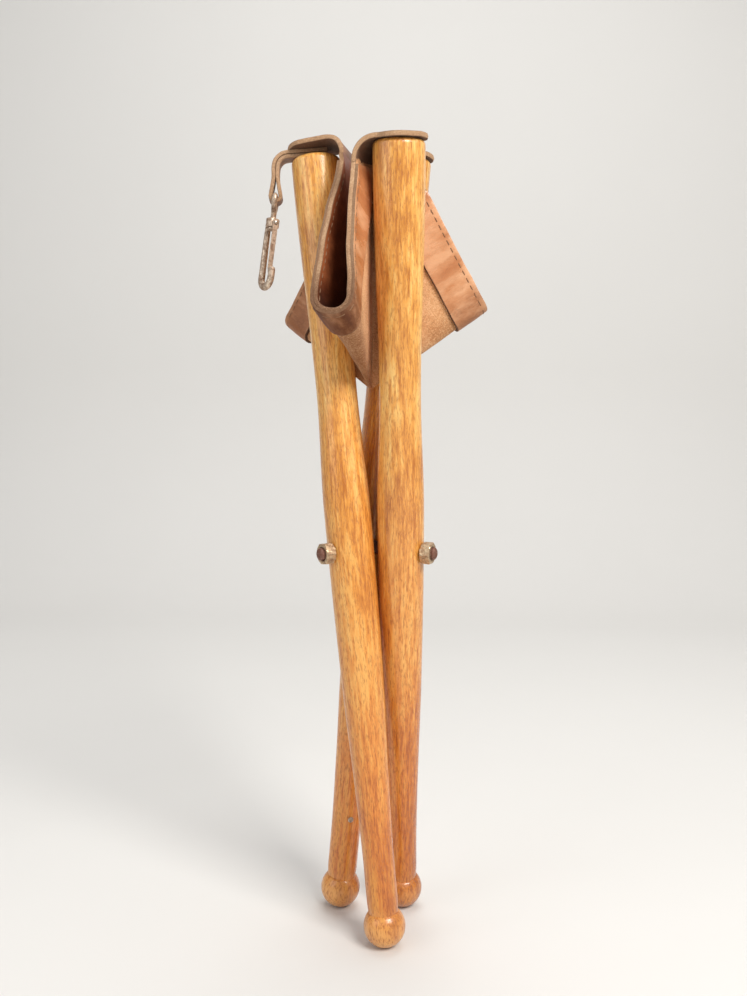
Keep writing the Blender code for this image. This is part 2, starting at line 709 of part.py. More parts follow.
def make_tab(stool, leg, bend, outline, leather, pivot):
    """Round tab under the screw and the bend over the leg's rim, down to the strip."""
    edge_points = [point for point in outline
                   if abs(point.dot(bend["edge"]) - bend["limit"] + GAP) < GAP / 10]
    along = Vector((-bend["edge"].y, bend["edge"].x))
    strip_side = [point.dot(along) for point in edge_points]
    low, high = min(strip_side), max(strip_side)
    matrix = basis(bend["run"], bend["up"], bend["tab"])
    flat = bend["start"]
    roll = CORNER_BEND * bend["angle"]
    tail = TAB_RADIUS * TAB_TAIL_SHARE
    middle = bend["middle"]

    def place(share, across):
        length = -tail + share * (tail + flat + roll)
        blend = min(max(length / flat, 0.0), 1.0)
        round_half = sqrt(TAB_RADIUS ** 2 - min(length, 0.0) ** 2)
        start = -round_half * (1 - blend) + (low - middle) * blend
        end = round_half * (1 - blend) + (high - middle) * blend
        side = start + (end - start) * across
        turn = max(length - flat, 0.0) / CORNER_BEND
        run = min(length, flat) + CORNER_BEND * sin(turn)
        drop = CORNER_BEND * (cos(turn) - 1)
        return Vector((run, side, drop))

    mesh = sheet_mesh(f"{leg}_corner_tab", TAB_COLUMNS, TAB_ROWS, place)
    item = stool.add(f"{leg}_corner_tab", mesh, matrix, pivot, leather)
    thicken(item, LEATHER)
    hole = cylinder_mesh("hole", SCREW_DIAMETER / 2 + BORE_CLEARANCE, -TAB_RADIUS, TAB_RADIUS, SCREW_STEPS)
    boolean(item, stool.add_cutter(f"{leg}_tab_hole", hole, matrix, pivot), "DIFFERENCE")


def fold_angle(strip, flap, grain):
    return acos(max(-1.0, min(1.0, strip[2].dot(grain * flap.col[2]))))


def make_seat(stool, pivots, leather, lining):
    centre = seat_centre()
    strips = {leg: strip_axes(leg, centre) for leg in LEGS}
    bends = {leg: corner_bend(leg, centre, strips[leg]) for leg in LEGS}
    folds = {wing: fold_wing(wing, centre, strips) for wing in WINGS}
    band_level = LEATHER / 2 + GAP + BAND_LEATHER / 2
    insets = {leg: [0.0, 0.0] for leg in LEGS}
    for wing, (first, second) in WINGS.items():
        wing_fold = folds[wing]
        inner = max(CENTRE_CUT, (LEATHER / 2 + GAP) / sin(radians(FOLD_HALF_ANGLE[wing])))
        angles = {first: fold_angle(strips[first], wing_fold["first_flap"], 1),
                  second: fold_angle(strips[second], wing_fold["second_flap"], -1)}
        insets[first][1] = ridge_inset(angles[first], LEATHER / 2)
        insets[second][0] = ridge_inset(angles[second], LEATHER / 2)
        for name, leg, side in (("first", first, 1), ("second", second, -1)):
            turn = wing_fold[f"{name}_flap"].to_4x4()
            turn.translation = centre
            half = wing_fold[f"{name}_half"]
            outline = flap_outline(half, wing_fold["sector"], ridge_inset(angles[leg], LEATHER / 2),
                                   bends[leg], side, inner, False)
            flap = plate_curve(f"{wing}_wing_{name}_flap", outline, LEATHER)
            stool.add(f"{wing}_wing_{name}_flap", flap, turn, stool.frame, leather)
            outline = flap_outline(half, wing_fold["sector"],
                                   ridge_inset(angles[leg], band_level + BAND_LEATHER / 2),
                                   bends[leg], side, inner, True)
            band = plate_curve(f"{wing}_band_{name}_flap", outline, BAND_LEATHER)
            below = turn @ Matrix.Translation((0, 0, -side * band_level))
            stool.add(f"{wing}_band_{name}_flap", band, below, stool.frame, lining)
        make_fold(stool, wing, wing_fold, centre, 0.0, inner, LEATHER, f"{wing}_wing_fold", leather)
        make_fold(stool, wing, wing_fold, centre, band_level, SEAT_EDGE - BAND_WIDTH, BAND_LEATHER,
                  f"{wing}_band_fold", lining)
    for leg in LEGS:
        outward, side, grain = strips[leg]
        outline = strip_outline(leg, bends[leg], insets[leg])
        corner = turning_point(leg, leg_tilt(leg))
        hinge = stool.pivot(f"{leg}_strip_hinge", basis(outward, grain, corner), pivots[leg])
        strip = plate_curve(f"{leg}_corner_strip", outline, LEATHER)
        stool.add(f"{leg}_corner_strip", strip, basis(outward, grain, centre), hinge, leather)
        offset = bends[leg]["tab"] - centre
        in_strip = Vector((offset.dot(outward), offset.dot(side)))
        bends[leg]["middle"] = in_strip.dot(Vector((-bends[leg]["edge"].y, bends[leg]["edge"].x)))
        make_tab(stool, leg, bends[leg], outline, leather, pivots[leg])


def make_fold(stool, wing, wing_fold, centre, below, inner, thickness, name, material):
    """Rolled fold of a wing, or the band under it."""
    middle, normal = fold_generator(wing_fold, 0.5)
    matrix = basis(middle, normal, centre)
    into = matrix.inverted()
    slack = radians(FOLD_EDGE_SLACK) / wing_fold["roll"]
    flat_roll = wing_fold["roll"] * sin(radians(FOLD_HALF_ANGLE[wing]))
    flat_start = wing_fold["first_half"] + wing_fold["sector"]

    def place(share, out):
        share = slack + (1 - 2 * slack) * share
        direction, grain = fold_generator(wing_fold, share)
        outer = seat_edge(flat_start + flat_roll * share)
        return into @ (centre + (inner + (outer - inner) * out) * direction - below * grain)

    item = stool.add(name, sheet_mesh(name, FOLD_COLUMNS, FOLD_ROWS, place), matrix, stool.frame, material)
    thicken(item, thickness)


# Strap and snap hook

def strap_axes():
    """Outward, upward and across directions of the strap at the left leg's top."""
    up = leg_direction("left", leg_tilt("left"))
    out = Vector((cos(radians(STRAP_AZIMUTH)), sin(radians(STRAP_AZIMUTH)), 0))
    out = (out - out.dot(up) * up).normalized()
    return out, up, up.cross(out)


def strap_fall():
    """Angle turned by the strap from the leg's top to hanging straight down."""
    out, up, across = strap_axes()
    return pi / 2 - atan2(-UP.dot(out), UP.dot(up))


def strap_route():
    """Middle of the strap, in (out, up) from the leg's top: in under the tab, round the eye and back."""
    fall = strap_fall()
    inner = GAP + STRAP_LEATHER / 2
    pitch = STRAP_LEATHER + GAP
    lower = arc((STRAP_RUN, inner - STRAP_BEND), STRAP_BEND, pi / 2, pi / 2 - fall, 6)
    upper = arc((STRAP_RUN, inner - STRAP_BEND), STRAP_BEND + pitch, pi / 2, pi / 2 - fall, 6)
    bar = eye_bar_place()
    down = Vector((cos(fall), -sin(fall)))
    aside = Vector((-down.y, down.x))
    loop = EYE_WIRE / 2 + GAP + STRAP_LEATHER / 2
    part = bar - STRAP_SPLIT * down
    points = [(-STRAP_TAIL, inner)] + lower
    points.append(tuple(part - aside * pitch / 2))
    for index in range(ARC_STEPS * 2 + 1):
        angle = radians(STRAP_LOOP_START + STRAP_LOOP_TURN * index / (ARC_STEPS * 2))
        points.append(tuple(bar - loop * cos(angle) * aside + loop * sin(angle) * down))
    points.append(tuple(part + aside * pitch / 2))
    return points + upper[::-1] + [(-STRAP_TAIL, inner + pitch)]


def eye_bar_place():
    """Middle of the eye's bar, in (out, up) from the leg's top."""
    fall = strap_fall()
    middle = STRAP_BEND + (STRAP_LEATHER + GAP) / 2
    end = Vector((STRAP_RUN + middle * cos(pi / 2 - fall),
                  GAP + STRAP_LEATHER / 2 - STRAP_BEND + middle * sin(pi / 2 - fall)))
    return end + STRAP_DROP * Vector((cos(fall), -sin(fall)))


def make_strap(stool, pivot, leather):
    out, up, across = strap_axes()
    top = leg_point("left", leg_tilt("left"), PIVOT_FROM_TOP)
    matrix = basis(out, up, top)
    route = strap_route()

    def place(share, side):
        here = route[min(round(share * (len(route) - 1)), len(route) - 1)]
        return Vector((here[0], (side - 0.5) * STRAP_WIDTH, here[1]))

    mesh = sheet_mesh("hanging_strap", len(route) - 1, 1, place)
    item = stool.add("hanging_strap", mesh, matrix, pivot, leather)
    thicken(item, STRAP_LEATHER)
    hole = cylinder_mesh("hole", SCREW_DIAMETER / 2 + BORE_CLEARANCE, -TAB_RADIUS, TAB_RADIUS, SCREW_STEPS)
    boolean(item, stool.add_cutter("strap_hole", hole, matrix, pivot), "DIFFERENCE")


def hook_matrix():
    """Snap hook at the eye's bar: Y along the bar, Z up the swivel's axis."""
    out, up, across = strap_axes()
    bar = eye_bar_place()
    top = leg_point("left", leg_tilt("left"), PIVOT_FROM_TOP)
    upright = (UP - UP.dot(across) * across).normalized()
    lean = Quaternion(across, -radians(HOOK_LEAN))
    upright = lean @ upright
    return basis(across.cross(upright), upright, top + bar.x * out + bar.y * up)


def collar_middle():
    """Collar below the eye's bar."""
    return -EYE_HEIGHT - EYE_WIRE / 2 - GAP - COLLAR_HEIGHT / 2


def make_eye(stool, pivot, steel):
    """Pear-shaped eye with the stem that the hook turns on."""
    matrix = hook_matrix()
    swing = stool.pivot("hook_swing", matrix, pivot)
    corner = EYE_CORNER
    half = STRAP_WIDTH / 2 + GAP + corner
    points = [(0.0, y, z) for y, z in arc((half - corner, -corner), corner, pi / 2, 0, 4)]
    for index in range(1, EYE_SIDE_STEPS + 1):
        share = index / EYE_SIDE_STEPS
        ease = share * share * (3 - 2 * share)
        points.append((0.0, half + (EYE_NECK_HALF - half) * ease, -corner - (EYE_HEIGHT - corner) * share))
    ring = points + [(0.0, -y, z) for x, y, z in points[::-1]]
    eye = stool.add("swivel_eye", tube_mesh("swivel_eye", ring, EYE_WIRE / 2, True), matrix, swing, steel)
    bottom = collar_middle() - COLLAR_HEIGHT / 2 - GAP
    radius = EYE_STEM_DIAMETER / 2
    button = EYE_BUTTON_DIAMETER / 2
    profile = [(0.0, -EYE_HEIGHT), (radius, -EYE_HEIGHT), (radius, bottom), (button, bottom),
               (button, bottom - EYE_BUTTON_EDGE), (radius, bottom - EYE_BUTTON_THICKNESS),
               (0.0, bottom - EYE_BUTTON_THICKNESS)]
    stem = stool.add_cutter("eye_stem", turned_mesh("eye_stem", profile), matrix, swing)
    turn_on_axis(stem, SCREW_STEPS)
    boolean(eye, stem, "UNION")
    return swing


def hook_route():
    """Bar of the hook from beside the collar to the end of the nose, in its own plane."""
    middle = collar_middle()
    start = -HOOK_SHANK_OFFSET
    bend = middle - HOOK_DROP
    nose = start + 2 * HOOK_BEND
    points = [(start, middle + HOOK_SHANK_TOP), (start, middle - COLLAR_HEIGHT),
              (start, (middle + bend) / 2)]
    points += arc((start + HOOK_BEND, bend), HOOK_BEND, pi, TURN, ARC_STEPS)
    return points + [(nose, bend + NOSE_RISE - NOSE_TAPER), (nose, bend + NOSE_RISE)]


def make_hook(stool, swing, steel):
    """Hook with its collar, turned on the eye's stem."""
    matrix = hook_matrix() @ Matrix.Rotation(radians(HOOK_TURN), 4, "Z")
    turn = stool.pivot("hook_turn", matrix, swing)
    points = [(x, 0.0, z) for x, z in hook_route()]
    radii = [1.0] * (len(points) - 1) + [NOSE_END_DIAMETER / HOOK_BAR]
    bar = tube_mesh("hook_body", points, HOOK_BAR / 2, False, radii)
    body = stool.add("hook_body", bar, matrix, turn, steel)
    half = COLLAR_HEIGHT / 2
    middle = collar_middle()
    collar = cylinder_mesh("collar", COLLAR_DIAMETER / 2, middle - half, middle + half)
    boolean(body, stool.add_cutter("collar", collar, matrix, turn), "UNION")
    bore = cylinder_mesh("bore", EYE_STEM_DIAMETER / 2 + BORE_CLEARANCE,
                         middle - COLLAR_HEIGHT, middle + COLLAR_HEIGHT)
    boolean(body, stool.add_cutter("collar_bore", bore, matrix, turn), "DIFFERENCE")
    socket = rivet_matrix()
    hole = cylinder_mesh("hole", RIVET_DIAMETER / 2 + BORE_CLEARANCE, -RIVET_LENGTH - GAP, RIVET_LENGTH,
                         SMALL_STEPS)
    boolean(body, stool.add_cutter("rivet_hole", hole, matrix @ socket, turn), "DIFFERENCE")
    flat = bmesh.new()
    bmesh.ops.create_cube(flat, size=COLLAR_DIAMETER)
    mesh = bpy.data.meshes.new("collar_flat")
    flat.to_mesh(mesh)
    flat.free()
    seat = matrix @ Matrix.Translation((tongue_seat() - GAP + COLLAR_DIAMETER / 2, 0, middle))
    boolean(body, stool.add_cutter("collar_flat", mesh, seat, turn), "DIFFERENCE")
    return turn, matrix


def tongue_seat():
    """Flat on the collar's front that carries the tongue, from the swivel axis."""
    return COLLAR_DIAMETER / 2 - COLLAR_FLAT_DEPTH + GAP


def rivet_matrix():
    head = Vector((tongue_seat() + TONGUE_LEAF + GAP, 0, collar_middle()))
    return basis(Vector((0, 1, 0)), Vector((1, 0, 0)), head)


def tongue_route():
    """Leaf from its rivet down to the inside of the nose, middle of its thickness."""
    middle = collar_middle()
    nose = -HOOK_SHANK_OFFSET + 2 * HOOK_BEND - HOOK_BAR / 2 - GAP - TONGUE_LEAF / 2
    tip = middle - HOOK_DROP + NOSE_RISE - TONGUE_TIP_BELOW_NOSE
    root = tongue_seat() + TONGUE_LEAF / 2
    low = middle - COLLAR_HEIGHT / 2
    points = [(root, middle + TONGUE_ABOVE_RIVET), (root, middle), (root, low)]
    for fall, reach in TONGUE_BOW:
        points.append((root + (nose - root) * reach, low + (tip - low) * fall))
    return points + [(nose, tip)]


def make_tongue(stool, turn, hook_place, steel):
    """Leaf spring of the hook, riveted to the collar, and its rivet."""
    root = Matrix.Translation((tongue_seat(), 0, collar_middle() - COLLAR_HEIGHT / 2))
    hinge = stool.pivot("tongue_root", hook_place @ root, turn)
    into = root.inverted()
    route = tongue_route()

    def place(share, side):
        x, z = route[round(share * (len(route) - 1))]
        return into @ Vector((x, (0.5 - side) * TONGUE_WIDTH, z))

    leaf = sheet_mesh("hook_tongue", len(route) - 1, 1, place)
    item = stool.add("hook_tongue", leaf, hook_place @ root, hinge, steel)
    thicken(item, TONGUE_LEAF)
    hole = cylinder_mesh("hole", RIVET_DIAMETER / 2 + BORE_CLEARANCE, -RIVET_LENGTH, RIVET_LENGTH,
                         SMALL_STEPS)
    socket = hook_place @ rivet_matrix()
    boolean(item, stool.add_cutter("leaf_hole", hole, socket, hinge), "DIFFERENCE")
    head = RIVET_HEAD_DIAMETER / 2
    profile = [(head * sin(a), RIVET_HEAD_HEIGHT * cos(a)) for a in (0, pi / 6, pi / 3, pi / 2)]
    profile += [(RIVET_DIAMETER / 2, 0.0), (RIVET_DIAMETER / 2, -RIVET_LENGTH), (0.0, -RIVET_LENGTH)]
    rivet = stool.add("tongue_rivet", turned_mesh("tongue_rivet", profile), socket, hinge, steel)
    turn_on_axis(rivet, SMALL_STEPS)


def main():
    for item in list(bpy.data.objects):
        bpy.data.objects.remove(item)
    stool = Stool()
    wood = finish("honey_hardwood", (0.62, 0.29, 0.08), 0.35)
    iron = finish("dark_rusted_iron", (0.10, 0.06, 0.04), 0.6, 0.8)
    snap_steel = finish("worn_brown_steel", (0.32, 0.21, 0.13), 0.5, 0.7)
    leather = finish("saddle_leather", (0.30, 0.09, 0.03), 0.45)
    lining = finish("band_leather", (0.36, 0.13, 0.05), 0.5)
    strap_leather = finish("strap_leather", (0.45, 0.30, 0.17), 0.7)
    legs = {}
    pivots = {}
    for leg in LEGS:
        legs[leg], pivots[leg] = make_leg(stool, leg, wood)
        make_nut(stool, leg, iron)
        make_screw(stool, leg, iron, pivots[leg])
    make_bolt(stool, iron)
    make_nail(stool, legs["back"], pivots["back"], iron)
    make_seat(stool, pivots, leather, lining)
    make_strap(stool, pivots["left"], strap_leather)
    swing = make_eye(stool, pivots["left"], snap_steel)
    turn, hook_place = make_hook(stool, swing, snap_steel)
    make_tongue(stool, turn, hook_place, snap_steel)
    stand_up(stool, legs)
    centre_on_floor(stool)


main()
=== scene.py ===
# Folding campaign stool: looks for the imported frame. Metres, same frame as the solids.
import bpy
import bmesh
from math import asin, atan, atan2, cos, pi, radians, sin, sqrt, tan
from mathutils import Matrix, Quaternion, Vector, noise


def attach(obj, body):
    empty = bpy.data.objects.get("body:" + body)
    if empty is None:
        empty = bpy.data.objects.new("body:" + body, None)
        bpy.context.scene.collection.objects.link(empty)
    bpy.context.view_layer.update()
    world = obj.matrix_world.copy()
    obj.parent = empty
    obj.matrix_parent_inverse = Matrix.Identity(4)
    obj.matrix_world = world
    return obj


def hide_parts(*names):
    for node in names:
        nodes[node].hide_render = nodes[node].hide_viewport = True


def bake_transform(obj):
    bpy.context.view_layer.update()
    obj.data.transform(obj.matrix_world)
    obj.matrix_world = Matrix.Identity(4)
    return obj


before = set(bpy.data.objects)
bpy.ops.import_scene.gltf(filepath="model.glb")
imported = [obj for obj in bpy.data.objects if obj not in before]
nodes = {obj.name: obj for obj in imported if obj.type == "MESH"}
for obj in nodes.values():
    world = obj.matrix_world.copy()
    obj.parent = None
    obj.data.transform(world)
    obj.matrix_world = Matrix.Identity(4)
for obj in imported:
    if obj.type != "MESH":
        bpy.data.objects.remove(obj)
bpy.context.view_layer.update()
print("frame loaded:", len(nodes), "solids")

# Small helpers


def unit(v):
    return Vector(v).normalized()


def axes(xAxis, zAxis, origin):  # placing matrix from its X and Z
    x = unit(xAxis)
    z = unit(zAxis)
    m = Matrix((x, z.cross(x).normalized(), z)).transposed().to_4x4()
    m.translation = Vector(origin)
    return m


def ease(t):
    t = min(max(t, 0.0), 1.0)
    return t * t * (3 - 2 * t)


def ripple(p, scale, seed=0.0):  # smooth noise, about -1 to 1
    return noise.noise(Vector(p) * scale + Vector((seed * 3.7, seed * 1.9, seed * 5.3)))


def makePiece(name, verts, faces, materials, slots=None, sharp=38, matrix=None):
    mesh = bpy.data.meshes.new(name)
    mesh.from_pydata([tuple(v) for v in verts], [], faces)
    for material in materials:
        mesh.materials.append(material)
    if slots:
        mesh.polygons.foreach_set("material_index", slots)
    shape = bmesh.new()
    shape.from_mesh(mesh)
    bmesh.ops.recalc_face_normals(shape, faces=shape.faces)
    if shape.calc_volume(signed=True) < 0:  # a bent sheet can come out inside out
        bmesh.ops.reverse_faces(shape, faces=shape.faces)
    shape.to_mesh(mesh)
    shape.free()
    mesh.shade_smooth()
    mesh.set_sharp_from_angle(angle=radians(sharp))
    piece = bpy.data.objects.new(name, mesh)
    bpy.context.scene.collection.objects.link(piece)
    if matrix is not None:
        piece.matrix_world = matrix
    return piece


def setVectors(piece, name, values):
    layer = piece.data.attributes.new(name, "FLOAT_VECTOR", "POINT")
    layer.data.foreach_set("vector", [c for v in values for c in v])


def setFloats(piece, name, values):
    layer = piece.data.attributes.new(name, "FLOAT", "POINT")
    layer.data.foreach_set("value", values)


def loft(loops, capped=True):  # closed loops of the same count, joined one after another
    count = len(loops[0])
    verts = [p for loop in loops for p in loop]
    faces = []
    for c in range(len(loops) - 1):
        for k in range(count):
            a = c * count + k
            b = c * count + (k + 1) % count
            faces.append((a, b, b + count, a + count))
    if capped:
        faces.append(tuple(range(count)))
        last = (len(loops) - 1) * count
        faces.append(tuple(range(last + count - 1, last - 1, -1)))
    return verts, faces


def ringLoft(loops):  # loops joined round to the first again
    verts, faces = loft(loops + [loops[0]], False)
    total = len(loops) * len(loops[0])
    return verts[:total], [tuple(i % total for i in face) for face in faces]


def turned(profile, steps):  # (radius, height) points turned about Z, ends on the axis
    verts, faces, rings = [], [], []
    for radius, height in profile:
        if radius < 1e-7:
            rings.append([len(verts)])
            verts.append(Vector((0, 0, height)))
        else:
            rings.append(list(range(len(verts), len(verts) + steps)))
            for k in range(steps):
                a = 2 * pi * k / steps
                verts.append(Vector((radius * cos(a), radius * sin(a), height)))
    for upper, lower in zip(rings, rings[1:]):
        for k in range(steps):
            n = (k + 1) % steps
            if len(upper) == 1:
                faces.append((upper[0], lower[k], lower[n]))
            elif len(lower) == 1:
                faces.append((upper[k], lower[0], upper[n]))
            else:
                faces.append((upper[k], lower[k], lower[n], upper[n]))
    return verts, faces


def smoothPath(points, perSpan):  # rounded line through the given points
    points = [Vector(p) for p in points]
    found = []
    for i in range(len(points) - 1):
        p0 = points[max(i - 1, 0)]
        p1, p2 = points[i], points[i + 1]
        p3 = points[min(i + 2, len(points) - 1)]
        for k in range(perSpan):
            t = k / perSpan
            found.append(0.5 * (2 * p1 + (p2 - p0) * t + (2 * p0 - 5 * p1 + 4 * p2 - p3) * t * t
                                + (3 * p1 - p0 - 3 * p2 + p3) * t ** 3))
    return found + [points[-1]]


def sweep(path, flatNormal, section):  # section(share) gives (aside, up) points at each place
    loops = []
    for i, p in enumerate(path):
        ahead = (path[min(i + 1, len(path) - 1)] - path[max(i - 1, 0)]).normalized()
        across = unit(flatNormal)
        above = across.cross(ahead).normalized()
        loops.append([p + a * above + b * across for a, b in section(i / (len(path) - 1))])
    return loops


def joined(parts):  # several (verts, faces) in one list
    verts, faces = [], []
    for v, f in parts:
        base = len(verts)
        verts += v
        faces += [tuple(base + i for i in face) for face in f]
    return verts, faces


# Shader helpers

def put(tree, kind, values=None, **settings):
    node = tree.nodes.new(kind)
    for key, value in settings.items():
        setattr(node, key, value)
    for key, value in (values or {}).items():
        if isinstance(value, bpy.types.NodeSocket):
            tree.links.new(value, node.inputs[key])
        else:
            node.inputs[key].default_value = value
    return node


def ramp(tree, factor, stops):
    node = put(tree, "ShaderNodeValToRGB", {"Fac": factor})
    line = node.color_ramp
    while len(line.elements) < len(stops):
        line.elements.new(0.5)
    for element, (place, colour) in zip(line.elements, stops):
        element.position = place
        element.color = (*colour, 1)
    return node.outputs["Color"]


def mixColour(tree, factor, first, second, blend="MIX"):
    node = put(tree, "ShaderNodeMix", data_type="RGBA", blend_type=blend)
    for socket, value in ((node.inputs[0], factor), (node.inputs[6], first), (node.inputs[7], second)):
        if isinstance(value, bpy.types.NodeSocket):
            tree.links.new(value, socket)
        elif isinstance(value, (int, float)):
            socket.default_value = value
        else:
            socket.default_value = (*value, 1)
    return node.outputs[2]


def sums(tree, operation, first, second=0.0):
    return put(tree, "ShaderNodeMath", {0: first, 1: second}, operation=operation).outputs[0]


def times(tree, first, second):
    return sums(tree, "MULTIPLY", first, second)


def plus(tree, first, second):
    return sums(tree, "ADD", first, second)


def minus(tree, first, second):
    return sums(tree, "SUBTRACT", first, second)


def spread(tree, value, low, high, newLow=0.0, newHigh=1.0):
    return put(tree, "ShaderNodeMapRange", {"Value": value, "From Min": low, "From Max": high,
                                            "To Min": newLow, "To Max": newHigh}).outputs[0]


def stretched(tree, vector, scale):
    return put(tree, "ShaderNodeMapping", {"Vector": vector, "Scale": scale}).outputs[0]


def speckle(tree, vector, scale, detail=3.0, rough=0.55, distortion=0.0):
    return put(tree, "ShaderNodeTexNoise", {"Vector": vector, "Scale": scale, "Detail": detail,
                                            "Roughness": rough, "Distortion": distortion}).outputs["Fac"]


def startGroup(name, values, results):  # takes a place and some values, gives values
    tree = bpy.data.node_groups.new(name, "ShaderNodeTree")
    tree.interface.new_socket("Vector", in_out="INPUT", socket_type="NodeSocketVector")
    for label, value in values.items():
        socket = tree.interface.new_socket(label, in_out="INPUT", socket_type="NodeSocketFloat")
        socket.default_value = value
    for label in results:
        tree.interface.new_socket(label, in_out="OUTPUT", socket_type="NodeSocketFloat")
    return tree, put(tree, "NodeGroupInput").outputs, put(tree, "NodeGroupOutput").inputs


def giveOut(tree, out, results):
    for label, socket in results.items():
        tree.links.new(socket, out[label])


def useGroup(tree, group, values):
    return put(tree, "ShaderNodeGroup", values, node_tree=group).outputs


def startMaterial(name):
    material = bpy.data.materials.new(name)
    material.use_nodes = True
    tree = material.node_tree
    return material, tree, tree.nodes["Principled BSDF"].inputs


def bumped(tree, shader, height, strength, distance):
    node = put(tree, "ShaderNodeBump", {"Height": height, "Strength": strength, "Distance": distance})
    tree.links.new(node.outputs[0], shader["Normal"])


def attributeVector(tree, name):
    return put(tree, "ShaderNodeAttribute", attribute_name=name).outputs["Vector"]


def attributeValue(tree, name):
    return put(tree, "ShaderNodeAttribute", attribute_name=name).outputs["Fac"]


# Shared effects

def turnedGrainGroup():  # long fibres, growth bands, pores and handling stains of turned wood
    tree, given, out = startGroup("turnedGrain", {"Seed": 0.0}, ("Band", "Fibre", "Pores", "Stain", "Height"))
    seed = given["Seed"]
    shift = put(tree, "ShaderNodeCombineXYZ", {0: seed, 1: seed, 2: seed}).outputs[0]
    place = put(tree, "ShaderNodeVectorMath", {0: given["Vector"], 1: shift}, operation="ADD").outputs[0]
    drift = speckle(tree, stretched(tree, place, (1, 1, 0.25)), 22.0, 2.0)
    push = put(tree, "ShaderNodeVectorMath", {0: drift, "Scale": 0.012}, operation="SCALE").outputs[0]
    bent = put(tree, "ShaderNodeVectorMath", {0: place, 1: (1, 1, 0.02), 2: push}, operation="MULTIPLY_ADD")
    band = put(tree, "ShaderNodeTexWave", {"Vector": bent.outputs[0], "Scale": 62.0, "Distortion": 1.6,
                                           "Detail": 3.0, "Detail Scale": 1.4},
               wave_type="BANDS", bands_direction="DIAGONAL").outputs["Fac"]
    fibre = speckle(tree, stretched(tree, place, (1, 1, 0.09)), 460.0, 5.0, 0.66)
    pores = spread(tree, speckle(tree, stretched(tree, place, (1, 1, 0.20)), 1000.0, 3.0, 0.6), 0.50, 0.64)
    stain = speckle(tree, stretched(tree, place, (1, 1, 0.30)), 26.0, 5.0, 0.6)
    height = minus(tree, times(tree, fibre, 0.5), pores)
    giveOut(tree, out, {"Band": band, "Fibre": fibre, "Pores": pores, "Stain": stain, "Height": height})
    return tree


def hideGrainGroup():  # pebbled grain, stretch wrinkles and rubbed patches of leather
    tree, given, out = startGroup("hideGrain", {"Pebble": 900.0, "Wrinkle": 60.0, "Rub": 24.0},
                                  ("Rubbed", "Cracks", "Height"))
    pebbles = put(tree, "ShaderNodeTexVoronoi", {"Vector": given["Vector"], "Scale": given["Pebble"]},
                  feature="SMOOTH_F1").outputs["Distance"]
    wrinkle = speckle(tree, given["Vector"], given["Wrinkle"], 6.0, 0.62, 0.4)
    cracks = spread(tree, sums(tree, "ABSOLUTE", minus(tree, wrinkle, 0.5)), 0.0, 0.03, 1.0, 0.0)
    rubbed = speckle(tree, given["Vector"], given["Rub"], 5.0, 0.6)
    lowered = minus(tree, times(tree, pebbles, -0.35), times(tree, cracks, 0.12))
    giveOut(tree, out, {"Rubbed": rubbed, "Cracks": cracks, "Height": plus(tree, lowered, wrinkle)})
    return tree


def napGroup():  # fuzzy cut fibres of suede and raw edges
    tree, given, out = startGroup("fibreNap", {"Scale": 700.0}, ("Tone", "Flecks", "Height"))
    fine = speckle(tree, given["Vector"], given["Scale"], 5.0, 0.7)
    broad = speckle(tree, given["Vector"], 45.0, 4.0, 0.6)
    tone = plus(tree, times(tree, fine, 0.65), times(tree, broad, 0.35))
    giveOut(tree, out, {"Tone": tone, "Flecks": spread(tree, fine, 0.56, 0.68), "Height": fine})
    return tree


def rustGroup():  # pitted, mottled old iron
    tree, given, out = startGroup("rustMottle", {"Scale": 260.0, "Cover": 0.5}, ("Rust", "Pits", "Height"))
    patch = speckle(tree, given["Vector"], given["Scale"], 6.0, 0.65)
    edge = minus(tree, 1.0, given["Cover"])
    rust = spread(tree, patch, minus(tree, edge, 0.12), plus(tree, edge, 0.12))
    pits = spread(tree, speckle(tree, given["Vector"], 1500.0, 2.0, 0.5), 0.60, 0.70)
    giveOut(tree, out, {"Rust": rust, "Pits": pits, "Height": minus(tree, times(tree, patch, 0.6), pits)})
    return tree


turnedGrain = turnedGrainGroup()
hideGrain = hideGrainGroup()
fibreNap = napGroup()
rustMottle = rustGroup()

# Finishes

woodFinish = {"light": (0.96, 0.60, 0.190), "honey": (0.83, 0.385, 0.080), "brown": (0.52, 0.185, 0.032),
              "pore": (0.38, 0.110, 0.016), "grime": (0.16, 0.06, 0.022), "aged": (0.80, 0.50, 0.22),
              "bare": (0.90, 0.49, 0.15)}


